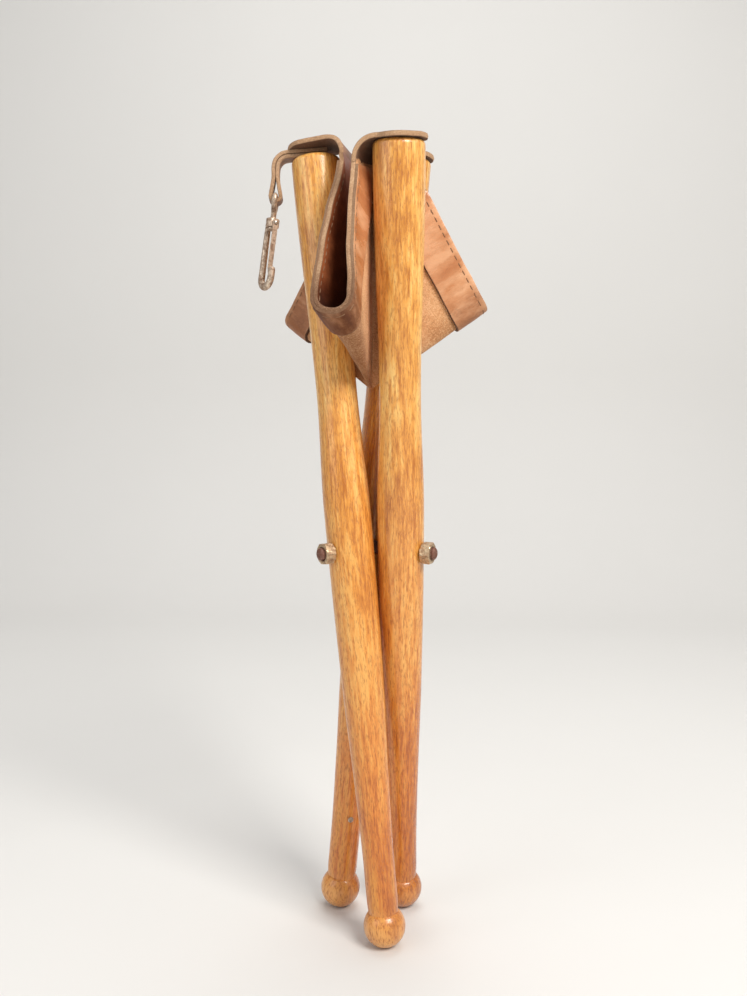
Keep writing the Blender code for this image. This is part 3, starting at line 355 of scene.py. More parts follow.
def honeyWood(name, seed):
    material, tree, shader = startMaterial(name)
    place = put(tree, "ShaderNodeTexCoord").outputs["Object"]
    grain = useGroup(tree, turnedGrain, {"Vector": place, "Seed": seed})
    tone = plus(tree, times(tree, grain["Fibre"], 0.56), times(tree, grain["Stain"], 0.40))
    tone = plus(tree, times(tree, grain["Band"], 0.04), tone)
    colour = ramp(tree, tone, [(0.375, woodFinish["brown"]), (0.48, woodFinish["honey"]),
                               (0.59, woodFinish["light"])])
    colour = mixColour(tree, times(tree, grain["Pores"], 0.55), colour, woodFinish["pore"])
    along = put(tree, "ShaderNodeSeparateXYZ", {0: place}).outputs[2]
    colour = mixColour(tree, spread(tree, along, 0.14, -0.24), colour, woodFinish["aged"], "MULTIPLY")
    foot = spread(tree, along, -0.19, -0.30, 0.0, 0.40)  # handled and darker towards the foot
    stained = times(tree, foot, spread(tree, grain["Stain"], 0.35, 0.62, 1.0, 0.25))
    colour = mixColour(tree, stained, colour, woodFinish["grime"])
    ball = spread(tree, along, -0.270, -0.286, 0.0, 0.55)  # varnish rubbed off the ball foot
    rubbed = times(tree, ball, spread(tree, grain["Stain"], 0.38, 0.58, 0.25, 1.0))
    rubbed = times(tree, rubbed, spread(tree, grain["Pores"], 0.0, 1.0, 1.0, 0.1))
    colour = mixColour(tree, rubbed, colour, woodFinish["bare"])
    tree.links.new(colour, shader["Base Color"])
    gloss = plus(tree, spread(tree, grain["Stain"], 0.3, 0.7, 0.22, 0.40), times(tree, grain["Pores"], 0.25))
    tree.links.new(gloss, shader["Roughness"])
    shader["Coat Weight"].default_value = 0.55
    shader["Coat Roughness"].default_value = 0.20
    bumped(tree, shader, grain["Height"], 0.35, 0.0004)
    return material


def soiledAndShaded(tree, mottle):  # dirt, and painted shade under the folds, where the hide is folded and handled
    return times(tree, attributeValue(tree, "soilAndShade"), spread(tree, mottle, 0.62, 0.42, 0.6, 1.0))


def grainLeather(name, dark, mid, worn, rough=(0.26, 0.46), pebble=1100.0, wrinkle=75.0, rub=24.0,
                 lay=(1, 1, 1), cracked=0.07, grime=(0.30, 0.30, 0.30)):
    material, tree, shader = startMaterial(name)
    place = stretched(tree, attributeVector(tree, "hide"), lay)  # lay draws the creases out one way
    # mask of dirt and painted shade, highest under the folds
    soilAndShade = attributeValue(tree, "soilAndShade")
    grain = useGroup(tree, hideGrain, {"Vector": place, "Pebble": pebble, "Wrinkle": wrinkle, "Rub": rub})
    rubbed = grain["Rubbed"]
    colour = ramp(tree, rubbed, [(0.30, dark), (0.50, mid), (0.70, worn)])
    # creases darken more where the dirt and painted shade lie
    creased = times(tree, grain["Cracks"], plus(tree, times(tree, soilAndShade, 0.45), cracked))
    colour = mixColour(tree, creased, colour, [c * 0.35 for c in dark])
    # worn rims turn paler, and on the bands this mask also carries a painted highlight
    scuffAndSheen = times(tree, attributeValue(tree, "wearAndSheen"), spread(tree, rubbed, 0.35, 0.6, 0.25, 1.0))
    colour = mixColour(tree, scuffAndSheen, colour, worn)
    # dark where dirt and painted shade lie, under the folds
    colour = mixColour(tree, soiledAndShaded(tree, rubbed), colour, [c * f for c, f in zip(dark, grime)])
    tree.links.new(colour, shader["Base Color"])
    tree.links.new(spread(tree, soilAndShade, 0.0, 1.0, 0.5, 0.22), shader["Specular IOR Level"])
    dull = plus(tree, spread(tree, rubbed, 0.3, 0.7, rough[0], rough[1]), times(tree, soilAndShade, 0.4))
    tree.links.new(dull, shader["Roughness"])
    bumped(tree, shader, grain["Height"], 0.5, 0.0006)
    return material


def rawLeather(name, dark, mid, pale, scale=700.0, strength=0.8, flecked=0.5, rind=0.0):
    material, tree, shader = startMaterial(name)
    place = attributeVector(tree, "hide")
    nap = useGroup(tree, fibreNap, {"Vector": place, "Scale": scale})
    colour = ramp(tree, nap["Tone"], [(0.34, dark), (0.50, mid), (0.66, pale)])
    colour = mixColour(tree, times(tree, nap["Flecks"], flecked), colour, pale)
    if rind:  # the dyed skin shows as a dark line on both sides of a cut edge
        depth = sums(tree, "ABSOLUTE", put(tree, "ShaderNodeSeparateXYZ", {0: place}).outputs[2])
        skin = spread(tree, depth, rind * 0.72, rind, 0.0, 0.6)
        colour = mixColour(tree, skin, colour, [c * 0.5 for c in dark])
    # darker colour for dirt and painted shade under the folds
    grime = [c * f for c, f in zip(dark, (0.55, 0.45, 0.36))]
    colour = mixColour(tree, soiledAndShaded(tree, nap["Tone"]), colour, grime)
    tree.links.new(colour, shader["Base Color"])
    shader["Roughness"].default_value = 0.88
    shader["Sheen Weight"].default_value = 0.14
    shader["Sheen Roughness"].default_value = 0.5
    shader["Sheen Tint"].default_value = (1.0, 0.80, 0.58, 1.0)
    bumped(tree, shader, nap["Height"], strength, 0.0008)
    return material


def oldIron(name, metal, rust, pit, cover, scale=260.0):
    material, tree, shader = startMaterial(name)
    place = put(tree, "ShaderNodeTexCoord").outputs["Object"]
    mottle = useGroup(tree, rustMottle, {"Vector": place, "Scale": scale, "Cover": cover})
    colour = mixColour(tree, mottle["Rust"], metal, rust)
    colour = mixColour(tree, times(tree, mottle["Pits"], 0.8), colour, pit)
    tree.links.new(colour, shader["Base Color"])
    tree.links.new(spread(tree, mottle["Rust"], 0.0, 1.0, 0.34, 0.72), shader["Roughness"])
    tree.links.new(spread(tree, mottle["Rust"], 0.0, 1.0, 0.95, 0.15), shader["Metallic"])
    bumped(tree, shader, mottle["Height"], 0.45, 0.0003)
    return material


def waxedThread(name, pale, dark):
    material, tree, shader = startMaterial(name)
    place = attributeVector(tree, "hide")
    nap = useGroup(tree, fibreNap, {"Vector": place, "Scale": 900.0})
    tree.links.new(ramp(tree, nap["Tone"], [(0.35, dark), (0.65, pale)]), shader["Base Color"])
    shader["Roughness"].default_value = 0.7
    bumped(tree, shader, nap["Height"], 0.5, 0.0002)
    return material


seatGrain = grainLeather("seatGrain", (0.095, 0.018, 0.005), (0.22, 0.050, 0.014), (0.42, 0.125, 0.040))
# grime gives the band's colour where dirt and painted shade lie
bandGrain = grainLeather("bandGrain", (0.46, 0.170, 0.066), (0.56, 0.230, 0.092), (0.76, 0.42, 0.23),
                         rough=(0.18, 0.32), pebble=900.0, wrinkle=120.0, rub=60.0,
                         lay=(1.3, 0.45, 1), cracked=0.10, grime=(0.21, 0.15, 0.12))
tabGrain = grainLeather("tabGrain", (0.085, 0.032, 0.015), (0.19, 0.078, 0.038), (0.34, 0.17, 0.092),
                        rough=(0.42, 0.62), pebble=900.0, wrinkle=120.0, rub=60.0)
suede = rawLeather("suede", (0.40, 0.170, 0.060), (0.70, 0.365, 0.165), (0.88, 0.56, 0.31),
                   scale=1000.0, strength=0.6, flecked=0.35)
# this dark flesh colour is also painted on the band's inner cut edge as a shadow line
darkFleshAndShadow = rawLeather("darkFleshAndShadow", (0.070, 0.028, 0.012), (0.145, 0.062, 0.028), (0.26, 0.13, 0.065),
                       scale=1300.0, strength=0.7, flecked=0.3)
cutEdge = rawLeather("cutEdge", (0.27, 0.135, 0.066), (0.51, 0.295, 0.158), (0.72, 0.49, 0.30),
                     scale=1300.0, strength=0.9, flecked=0.5, rind=0.00165)
strapGrain = grainLeather("strapGrain", (0.10, 0.048, 0.026), (0.25, 0.125, 0.065), (0.45, 0.26, 0.145),
                          rough=(0.45, 0.65), pebble=900.0, wrinkle=160.0, rub=120.0)
strapEdge = rawLeather("strapEdge", (0.25, 0.14, 0.075), (0.47, 0.28, 0.155), (0.67, 0.46, 0.29),
                       scale=1300.0, strength=0.9, flecked=0.5, rind=0.0015)
stitchThread = waxedThread("stitchThread", (0.33, 0.175, 0.085), (0.15, 0.065, 0.028))
nutIron = oldIron("nutIron", (0.62, 0.46, 0.29), (0.26, 0.13, 0.065), (0.06, 0.03, 0.02), cover=0.45)
boltIron = oldIron("boltIron", (0.34, 0.21, 0.16), (0.17, 0.065, 0.04), (0.05, 0.025, 0.02), cover=0.62)
screwIron = oldIron("screwIron", (0.52, 0.46, 0.39), (0.25, 0.15, 0.09), (0.07, 0.04, 0.03), cover=0.45)
snapSteel = oldIron("snapSteel", (0.78, 0.63, 0.49), (0.25, 0.145, 0.088), (0.05, 0.03, 0.02), cover=0.50,
                    scale=240.0)
print("finishes made")

# Turned legs

legs = {"left": {"pivot": (-0.01498, 0.00254, 0.30099), "arm": (-0.81500, -0.57841, -0.03491),
                 "up": (-0.09706, 0.07687, 0.99231), "seed": 0.31},
        "right": {"pivot": (0.02295, 0.00613, 0.30100), "arm": (0.90911, -0.41514, -0.03435),
                  "up": (-0.01827, -0.12211, 0.99235), "seed": 2.17},
        "back": {"pivot": (0.00088, 0.03716, 0.30220), "arm": (-0.09426, 0.99534, 0.02049),
                 "up": (0.08212, -0.01274, 0.99654), "seed": 4.73}}
turning = {"length": 0.600, "pivotFromTop": 0.2963, "topEdge": 0.0045, "ball": 0.0319, "score": 0.0005,
           "steps": 72, "rings": 76, "ballRings": 24, "outOfRound": 0.00012, "usualRadius": 0.016,
           "stations": ((0.0, 0.0372), (0.045, 0.0366), (0.179, 0.0307), (0.265, 0.0356), (0.400, 0.0318),
                        (0.470, 0.0269), (0.545, 0.0236), (0.600, 0.0236))}


def legRadius(fromTop):
    s = turning["stations"]

    def slope(i):
        if i == 0 or i == len(s) - 1 or (s[i][1] - s[i - 1][1]) * (s[i + 1][1] - s[i][1]) <= 0:
            return 0.0
        return (s[i + 1][1] - s[i - 1][1]) / (s[i + 1][0] - s[i - 1][0])

    i = max(k for k in range(len(s) - 1) if s[k][0] <= fromTop)
    span = s[i + 1][0] - s[i][0]
    t = (fromTop - s[i][0]) / span
    size = s[i][1] + (s[i + 1][1] - s[i][1]) * ease(t)
    size += slope(i) * span * t * (1 - t) ** 2 - slope(i + 1) * span * t * t * (1 - t)
    return size / 2


def legProfile():
    top, edge, ball = turning["pivotFromTop"], turning["topEdge"], turning["ball"] / 2
    rim = legRadius(edge)
    points = [(0.0, top), (rim * 0.45, top)]
    for k in range(7):
        a = pi / 2 * (1 - k / 6)
        points.append((rim - edge + edge * cos(a), top - edge + edge * sin(a)))
    neckRadius = turning["stations"][-1][1] / 2
    neck = sqrt(ball ** 2 - neckRadius ** 2)
    shaft = turning["length"] - ball - neck - edge
    for k in range(1, turning["rings"]):
        fromTop = edge + shaft * k / turning["rings"]
        points.append((legRadius(fromTop), top - fromTop))
    centre = top - turning["length"] + ball
    points.append((neckRadius - turning["score"], centre + neck + 0.0002))  # scored line above the ball
    rise = asin(neck / ball)
    for k in range(turning["ballRings"]):
        a = rise + (-pi / 2 - rise) * k / turning["ballRings"]
        points.append((ball * cos(a), centre + ball * sin(a)))
    return points + [(0.0, centre - ball)]


for leg, at in legs.items():
    matrix = axes(at["arm"], at["up"], at["pivot"])
    back = matrix.inverted()
    verts, faces = turned(legProfile(), turning["steps"])
    for v in verts:
        off = turning["outOfRound"] * ripple((v.x * 1.5, v.y * 1.5, v.z * 0.25), 60, at["seed"])
        v.x *= 1 + off / turning["usualRadius"]
        v.y *= 1 + off / turning["usualRadius"]
        world = matrix @ v
        if world.z < 0:  # worn flat under the ball
            world.z = 0
            v.xyz = back @ world
    wood = honeyWood(f"honeyWood_{leg}", at["seed"])
    piece = makePiece(f"{leg}TurnedLeg", verts, faces, [wood], matrix=matrix)
    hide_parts(f"{leg}_leg")
    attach(piece, f"{leg}_leg")
print("legs turned")

# Bolt, nuts, screws, nail

hardware = {"armRadius": 0.00475, "nutStart": 0.03996, "armEnd": 0.05146, "flats": 0.015, "nutHeight": 0.008,
            "pivotRadius": 0.022, "dome": 0.0024, "threads": 7, "threadPitch": 0.0011, "threadDepth": 0.0003,
            "screwHead": 0.0095, "screwRise": 0.003, "screwShank": 0.0021, "screwLength": 0.028,
            "slot": 0.0011, "slotDepth": 0.0012, "strapStack": 0.0064, "leather": 0.0029}


def hexNut():
    half, height, bore = hardware["flats"] / 2, hardware["nutHeight"], hardware["armRadius"] + 0.0002
    loops = []
    for k in range(48):
        a = 2 * pi * k / 48
        reach = half / cos((a + pi / 6) % (pi / 3) - pi / 6)
        cut = (reach - half * 1.005) * 0.55  # chamfer at the corners
        ring = [(bore, 0.0002), (half * 0.96, 0.0), (half * 1.002, cut * 0.2), (reach, cut + 0.0003),
                (reach, height - cut - 0.0004), (half * 1.002, height - cut * 0.1 - 0.0001),
                (half * 0.93, height), (bore + 0.0006, height), (bore, height - 0.0007)]
        loops.append([Vector((r * cos(a), r * sin(a), z)) for r, z in ring])
    return ringLoft(loops)


def boltArm():
    r, end, dome = hardware["armRadius"], hardware["armEnd"], hardware["dome"]
    profile = [(0.0, end)]
    profile += [(r * sin(a), end - dome + dome * cos(a)) for a in (0.25, 0.5, 0.8, 1.1, 1.35, pi / 2)]
    for k in range(hardware["threads"]):  # worn thread between nut and dome
        down = end - k * hardware["threadPitch"]
        profile += [(r, down - 0.0026), (r - hardware["threadDepth"], down - 0.0031)]
    return turned(profile + [(r, 0.0), (0.0, 0.0)], 40)


hubCentre = Vector(legs["left"]["pivot"]) - hardware["pivotRadius"] * Vector(legs["left"]["arm"])
arms = []
for leg, at in legs.items():
    arm, up = unit(at["arm"]), unit(at["up"])
    verts, faces = hexNut()
    nut = makePiece(f"{leg}HexNut", verts, faces, [nutIron], sharp=24,
                    matrix=axes(up, arm, hubCentre + hardware["nutStart"] * arm))
    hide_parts(f"{leg}_nut")
    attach(nut, "hub")
    place = axes(up, arm, hubCentre)
    verts, faces = boltArm()
    arms.append(([place @ v for v in verts], faces))
verts, faces = joined(arms)
bolt = makePiece("threeWayBolt", verts, faces, [boltIron])
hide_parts("three_way_bolt")
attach(bolt, "hub")


def slottedHead(radius, rise, shank, length):
    profile = [(0.0, rise)]
    profile += [(radius * sin(a), rise * cos(a)) for a in (0.15, 0.3, 0.5, 0.7, 0.9, 1.1, 1.3, 1.5)]
    profile += [(radius * 0.97, -0.0002), (shank, -0.0003), (shank, -length * 0.8), (0.0, -length)]
    return turned(profile, 48)


def cutSlot(piece, width, depth, rise, turn):  # screwdriver slot across the head
    block = bmesh.new()
    bmesh.ops.create_cube(block, size=1.0)
    mesh = bpy.data.meshes.new("slotBlock")
    block.to_mesh(mesh)
    block.free()
    tool = bpy.data.objects.new("slotBlock", mesh)
    bpy.context.scene.collection.objects.link(tool)
    tool.matrix_world = (piece.matrix_world @ Matrix.Translation((0, 0, rise)) @ Matrix.Rotation(turn, 4, "Z")
                         @ Matrix.Diagonal((0.03, width, depth * 2, 1)))
    cut = piece.modifiers.new("slot", "BOOLEAN")
    cut.operation = "DIFFERENCE"
    cut.object = tool
    bpy.context.view_layer.update()
    made = bpy.data.meshes.new_from_object(piece.evaluated_get(bpy.context.evaluated_depsgraph_get()))
    piece.modifiers.clear()
    piece.data = made
    bpy.data.objects.remove(tool)


for leg, at in legs.items():
    stack = hardware["strapStack"] if leg == "left" else 0.0
    top = turning["pivotFromTop"] + stack + hardware["leather"] + 0.0006
    matrix = axes(at["arm"], at["up"], at["pivot"]) @ Matrix.Translation((0, 0, top))
    verts, faces = slottedHead(hardware["screwHead"] / 2, hardware["screwRise"], hardware["screwShank"],
                               hardware["screwLength"])
    screw = makePiece(f"{leg}SeatScrew", verts, faces, [screwIron], matrix=matrix)
    cutSlot(screw, hardware["slot"], hardware["slotDepth"], hardware["screwRise"], 0.6 + at["seed"])
    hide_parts(f"{leg}_screw")
    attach(screw, f"{leg}_leg")

nail = nodes["back_nail"]
nail.data.materials.clear()
nail.data.materials.append(screwIron)
print("bolt, nuts and screws made")

# Seat hide: flat angles run round the hide from each corner, lengths from its centre

hide = {"centre": (-0.000878, 0.010976, 0.423370), "leather": 0.0033, "bandLeather": 0.0022, "edge": 0.106,
        "bandWidth": 0.028, "inner": 0.0016, "cornerCut": 0.009, "tabLap": 0.0035, "stripInner": 0.0030,
        "tabRadius": 0.020, "wave": 0.00035, "rimWander": 0.0005, "mitreCap": 0.02, "flatLength": 0.17,
        "rows": 26, "rimRound": 0.0009, "wornRim": 0.010,
        "bandRows": 12, "bandRound": 0.0008, "bandPuff": 0.0003,
        "stitchIn": 0.0042, "stitchPitch": 0.0062, "stitchLength": 0.0044, "threadRadius": 0.00042}
# Along each wing the second-last table darkens the hide with dirt and painted shade, most under the folds,
# and the last table paints a highlight that makes the band paler.
wings = {"front": {"corners": ("left", "right"), "roll": 178.592, "sector": 45.5013, "half": 5.6, "turn": 0,
                   "ridgeA": (-0.16119, -0.12249, 0.97929), "grainA": (0.94670, -0.29960, 0.11835),
                   "ridgeB": (-0.01127, -0.15814, 0.98735), "grainB": (-0.98699, 0.16015, 0.01439),
                   "axis": (-0.21803, -0.78633, 0.57806), "bandStop": (0.0105, 0.0105), "flareDepth": 0.055,
                   "flare": ((0.0, 0.0050), (0.04, 0.0048), (0.26, -0.0004), (0.5, -0.0030), (0.9, -0.0048),
                             (1.5, -0.0028), (2.05, 0.0016), (2.4, 0.0052), (2.7, 0.0070), (3.0, 0.0075)),
                   "soilAndShade": ((0.0, 0.25), (0.7, 0.35), (1.0, 0.95), (1.9, 0.95), (2.2, 0.35), (2.5, 0.05),
                            (3.0, 0.0)),
                   "paintedSheen": ((0.0, 0.1), (3.0, 0.1))},
         "right": {"corners": ("right", "back"), "roll": 178.718, "sector": 49.9333, "half": 3.0, "turn": 120,
                   "ridgeA": (0.03396, -0.11488, 0.99280), "grainA": (-0.12718, 0.98480, 0.11830),
                   "ridgeB": (0.02036, -0.03174, 0.99929), "grainB": (0.19436, -0.98030, -0.03510),
                   "axis": (0.77277, 0.07727, 0.62996), "bandStop": (0.0260, 0.0105), "flareDepth": 0.06,
                   "flare": ((0.0, 0.0012), (0.5, 0.0008), (1.0, 0.0), (2.0, 0.0), (2.6, 0.0007),
                             (3.0, 0.0007)),
                   "soilAndShade": ((0.0, 0.0), (0.8, 0.05), (1.0, 0.5), (2.0, 0.5), (2.3, 0.1), (3.0, 0.0)),
                   "paintedSheen": ((0.0, 0.95), (0.25, 0.95), (0.8, 0.15), (2.2, 0.1), (3.0, 0.6))},
         "left": {"corners": ("back", "left"), "roll": 178.136, "sector": 45.9635, "half": 3.0, "turn": 240,
                  "ridgeA": (-0.00534, 0.27699, 0.96086), "grainA": (-0.63373, -0.74421, 0.21102),
                  "ridgeB": (-0.06420, 0.20273, 0.97713), "grainB": (0.58877, 0.79827, -0.12694),
                  "axis": (-0.59220, 0.58968, 0.54916), "bandStop": (0.0105, 0.0105), "flareDepth": 0.05,
                  "flare": ((0.0, 0.0), (3.0, 0.0)),
                  "soilAndShade": ((0.0, 0.15), (0.8, 0.35), (1.0, 0.5), (2.0, 0.5), (2.3, 0.4), (3.0, 0.3)),
                  "paintedSheen": ((0.0, 0.5), (0.8, 0.1), (3.0, 0.1))}}
corners = {"left": {"turn": 0, "half": 9.77, "start": 0.01603, "limit": 0.17578,
                    "edge": (0.99922, -0.03960), "out": (-0.11435, 0.04071, 0.99261),
                    "grain": (0.95145, -0.28295, 0.12121), "tab": (-0.04453, 0.02594, 0.60309),
                    "run": (0.95206, -0.28343, 0.11508)},
           "right": {"turn": 120, "half": 1.8, "start": 0.01598, "limit": 0.16910,
                     "edge": (0.99994, -0.01122), "out": (0.01135, -0.13657, 0.99056),
                     "grain": (-0.69396, 0.71215, 0.10614), "tab": (0.01751, -0.03027, 0.59677),
                     "run": (-0.69372, 0.71629, 0.07537)},
           "back": {"turn": 240, "half": 8.98, "start": 0.01636, "limit": 0.16895,
                    "edge": (0.98982, -0.14232), "out": (0.00760, 0.12415, 0.99223),
                    "grain": (-0.99658, -0.08075, 0.01774), "tab": (0.02536, 0.03336, 0.59922),
                    "run": (-0.99337, -0.08172, 0.08082)}}
seatCentre = Vector(hide["centre"])
for w in wings.values():
    for key in ("ridgeA", "grainA", "ridgeB", "grainB", "axis"):
        w[key] = unit(w[key])
    w["rollAngle"] = radians(w["roll"])
    w["sectorAngle"] = radians(w["sector"])
    w["flatRoll"] = w["rollAngle"] * sin(radians(w["half"]))
    w["total"] = 2 * w["sectorAngle"] + w["flatRoll"]
    w["halves"] = [radians(corners[c]["half"]) for c in w["corners"]]
    w["acrossA"] = w["grainA"].cross(w["ridgeA"]).normalized()
    w["acrossB"] = w["ridgeB"].cross(w["grainB"]).normalized()
    w["start"] = cos(w["sectorAngle"]) * w["ridgeA"] + sin(w["sectorAngle"]) * w["acrossA"]
for corner, c in corners.items():
    for key in ("out", "grain", "run"):
        c[key] = unit(c[key])
    c["up"] = unit(legs[corner]["up"])
    c["side"] = c["grain"].cross(c["out"]).normalized()
    c["halfAngle"] = radians(c["half"])


def wingFrame(w, psi):  # direction and grain normal at a flat angle from the first ridge
    if psi <= w["sectorAngle"]:
        return cos(psi) * w["ridgeA"] + sin(psi) * w["acrossA"], w["grainA"]
    if psi <= w["sectorAngle"] + w["flatRoll"]:
        turn = Quaternion(w["axis"], w["rollAngle"] * (psi - w["sectorAngle"]) / w["flatRoll"])
        return turn @ w["start"], turn @ w["grainA"]
    rest = w["total"] - psi
    return cos(rest) * w["ridgeB"] + sin(rest) * w["acrossB"], w["grainB"]


def flatPlan(turn, angle, r, level):  # the same place on the whole flat hide, for its grain
    return Vector((r * cos(radians(turn) + angle), r * sin(radians(turn) + angle), level))


def hideFlat(w, psi, r, level):  # the same place on the flat hide: along the rim, out to it, level
    a = w["halves"][0] + psi - pi / 3
    return Vector((r * sin(a) + w["turn"] * 0.01, r * cos(a), level))


def flapShare(w, psi):  # 0 to 1 on the first flap, 1 to 2 round the fold, 2 to 3 on the second flap
    if psi <= w["sectorAngle"]:
        return psi / w["sectorAngle"]
    if psi <= w["sectorAngle"] + w["flatRoll"]:
        return 1 + (psi - w["sectorAngle"]) / w["flatRoll"]
    return 3 - (w["total"] - psi) / w["sectorAngle"]


def alongWing(w, psi, table):  # a value from a table of (share, value)
    share = flapShare(w, psi)
    for (s0, v0), (s1, v1) in zip(table, table[1:]):
        if s0 <= share <= s1:
            return v0 + (v1 - v0) * ease((share - s0) / (s1 - s0))
    return table[-1][1]


def flare(w, psi, r):  # how far the supple rim stands off its folding plane
    return alongWing(w, psi, w["flare"]) * ease(1 - (rimReach(w, psi) - r) / w["flareDepth"])


def hideLift(w, psi, r):  # gentle waves of the hide, and its flare
    f = hideFlat(w, psi, r, 0.0)
    return hide["wave"] * ripple((f.x, f.y, 0), 42, 1.0) * ease(r / 0.05) + flare(w, psi, r)


def rimReach(w, psi, inset=0.0):
    return (hide["edge"] - inset) / cos(pi / 3 - w["halves"][0] - psi)


def cornerLine(w, psi, back):  # how far the wing reaches below the corner bends
    reach = 1.0
    first, last = w["corners"]
    fromFirst, fromLast = w["halves"][0] + psi, w["halves"][1] + w["total"] - psi
    for corner, sign, angle in ((first, 1, fromFirst), (last, -1, fromLast)):
        c = corners[corner]
        along = c["edge"][0] * cos(angle) + sign * c["edge"][1] * sin(angle)
        if along > 0.2:
            reach = min(reach, (c["limit"] - back) / along)
    return reach


def rimWander(w, psi):  # the rim isn't cut quite straight
    return hide["rimWander"] * ripple((psi * 9, w["turn"], 0), 1.0, 3)


def wingAt(corner, end):  # the wing that starts (0) or ends (1) at a corner
    return next(w for w in wings.values() if w["corners"][end] == corner)


def ridgeTilt(w, end):  # mitre where a wing leaves its corner strip
    c = corners[w["corners"][end]]
    grain = w["grainB"] if end else w["grainA"]
    across = w["acrossB"] if end else w["acrossA"]
    angle = c["grain"].angle(grain)
    return tan(angle / 2) * (1 if across.dot(c["grain"]) > 0 else -1)


def endTilt(w, part, psi):  # mitre on the column beside a corner strip, none on the others
    return ridgeTilt(w, part) if psi == 0.0 or abs(psi - w["total"]) < 1e-9 else 0.0


def hideColumn(w, psi, places, mitre):  # one closed loop of (reach, level) places
    direction, normal = wingFrame(w, psi)
    across = w["acrossA"] if psi < w["sectorAngle"] else w["acrossB"]
    loop = []
    for r, level in places:
        cap = hide["mitreCap"] * r
        shift = max(-cap, min(cap, level * mitre))
        loop.append(seatCentre + r * direction + (level + hideLift(w, psi, r)) * normal + shift * across)
    return loop


def wingAngles(w, part, marks):
    s, f = w["sectorAngle"], w["flatRoll"]
    if part == 0:
        found = [s * k / 20 for k in range(20)] + [s + f / 2 * k / 14 for k in range(15)]
    else:
        found = [s + f / 2 + f / 2 * k / 14 for k in range(15)] + [s + f + s * k / 20 for k in range(1, 21)]
    low, high = found[0], found[-1]
    found += [m for m in marks if low < m < high]
    return sorted(found)


def crossing(test, low, high):  # flat angle where test changes sign
    if (test(low) > 0) == (test(high) > 0):
        return None
    for _ in range(40):
        mid = (low + high) / 2
        if (test(mid) > 0) == (test(low) > 0):
            low = mid
        else:
            high = mid
    return (low + high) / 2


def foldWeight(w, part, psi):  # how far a place follows the second of its two bodies
    start = w["sectorAngle"] + (w["flatRoll"] / 2 if part else 0.0)
    return min(max((psi - start) / (w["flatRoll"] / 2), 0.0), 1.0)


def bendWith(piece):
    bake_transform(piece)


def halfName(name, kind, part):
    return f"{name}{kind}{'Second' if part else 'First'}Half"


def wingLeather(name, part):  # half of a wing: one flap and half of its rolled fold
    w = wings[name]
    t = hide["leather"]
    inner = hide["inner"]
    back = hide["cornerCut"] - hide["tabLap"]  # the wing laps over the tab's end
    ends = (w["sectorAngle"] + w["flatRoll"], w["total"]) if part else (0.0, w["sectorAngle"])
    rimCut = crossing(lambda a: rimReach(w, a) - cornerLine(w, a, back), *ends)
    angles = wingAngles(w, part, [rimCut - 0.0006, rimCut + 0.0006] if rimCut else [])
    loops, flats, weights, wearAndSheen, soilAndShade = [], [], [], [], []
    rows = hide["rows"]
    sinHalf = sin(radians(w["half"]))
    for psi in angles:
        rim = rimReach(w, psi) + rimWander(w, psi)
        line = cornerLine(w, psi, back)
        end = min(rim, line)
        soft = hide["rimRound"] if rim < line else 0.0  # only a free rim is rounded
        places = []
        for k in range(rows + 1):
            r = inner + (end - soft - inner) * (k / rows)
            places.append((r, min(t / 2, 0.86 * r * sinHalf)))
        if soft:
            places += [(end - soft * 0.35, t / 2 - soft * 0.22), (end, t / 2 - soft), (end + 0.0001, 0.0),
                       (end, -t / 2 + soft), (end - soft * 0.35, -t / 2 + soft * 0.22)]
        else:
            places += [(end, t * level) for level in (0.4, 0.2, 0.0, -0.2, -0.4)]
        for k in range(rows + 1):
            r = end - soft - (end - soft - inner) * (k / rows)
            places.append((r, -t / 2 * (0.45 + 0.55 * ease((r - 0.02) / 0.03))))
        loops.append(hideColumn(w, psi, places, endTilt(w, part, psi)))
        weights += [foldWeight(w, part, psi)] * len(places)
        # dirt and painted shade along the wing, most under the fold
        soilAndShade += [alongWing(w, psi, w["soilAndShade"])] * len(places)
        for r, level in places:
            flats.append(flatPlan(w["turn"], w["halves"][0] + psi, r, level))
            wearAndSheen.append(ease(1 - (end - r) / hide["wornRim"]) if soft else 0.0)
    verts, faces = loft(loops)
    count = len(loops[0])
    slots = [0 if k < rows else 1 if k < rows + 6 else 2 for k in range(count)] * (len(loops) - 1) + [1, 1]
    piece = makePiece(halfName(name, "Wing", part), verts, faces, [seatGrain, cutEdge, suede], slots)
    setVectors(piece, "hide", flats)
    setFloats(piece, "wearAndSheen", wearAndSheen)
    setFloats(piece, "soilAndShade", soilAndShade)
    bendWith(piece)
    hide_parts(f"{name}_wing_second_flap" if part else f"{name}_wing_first_flap")
    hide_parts(f"{name}_wing_fold")
    return piece


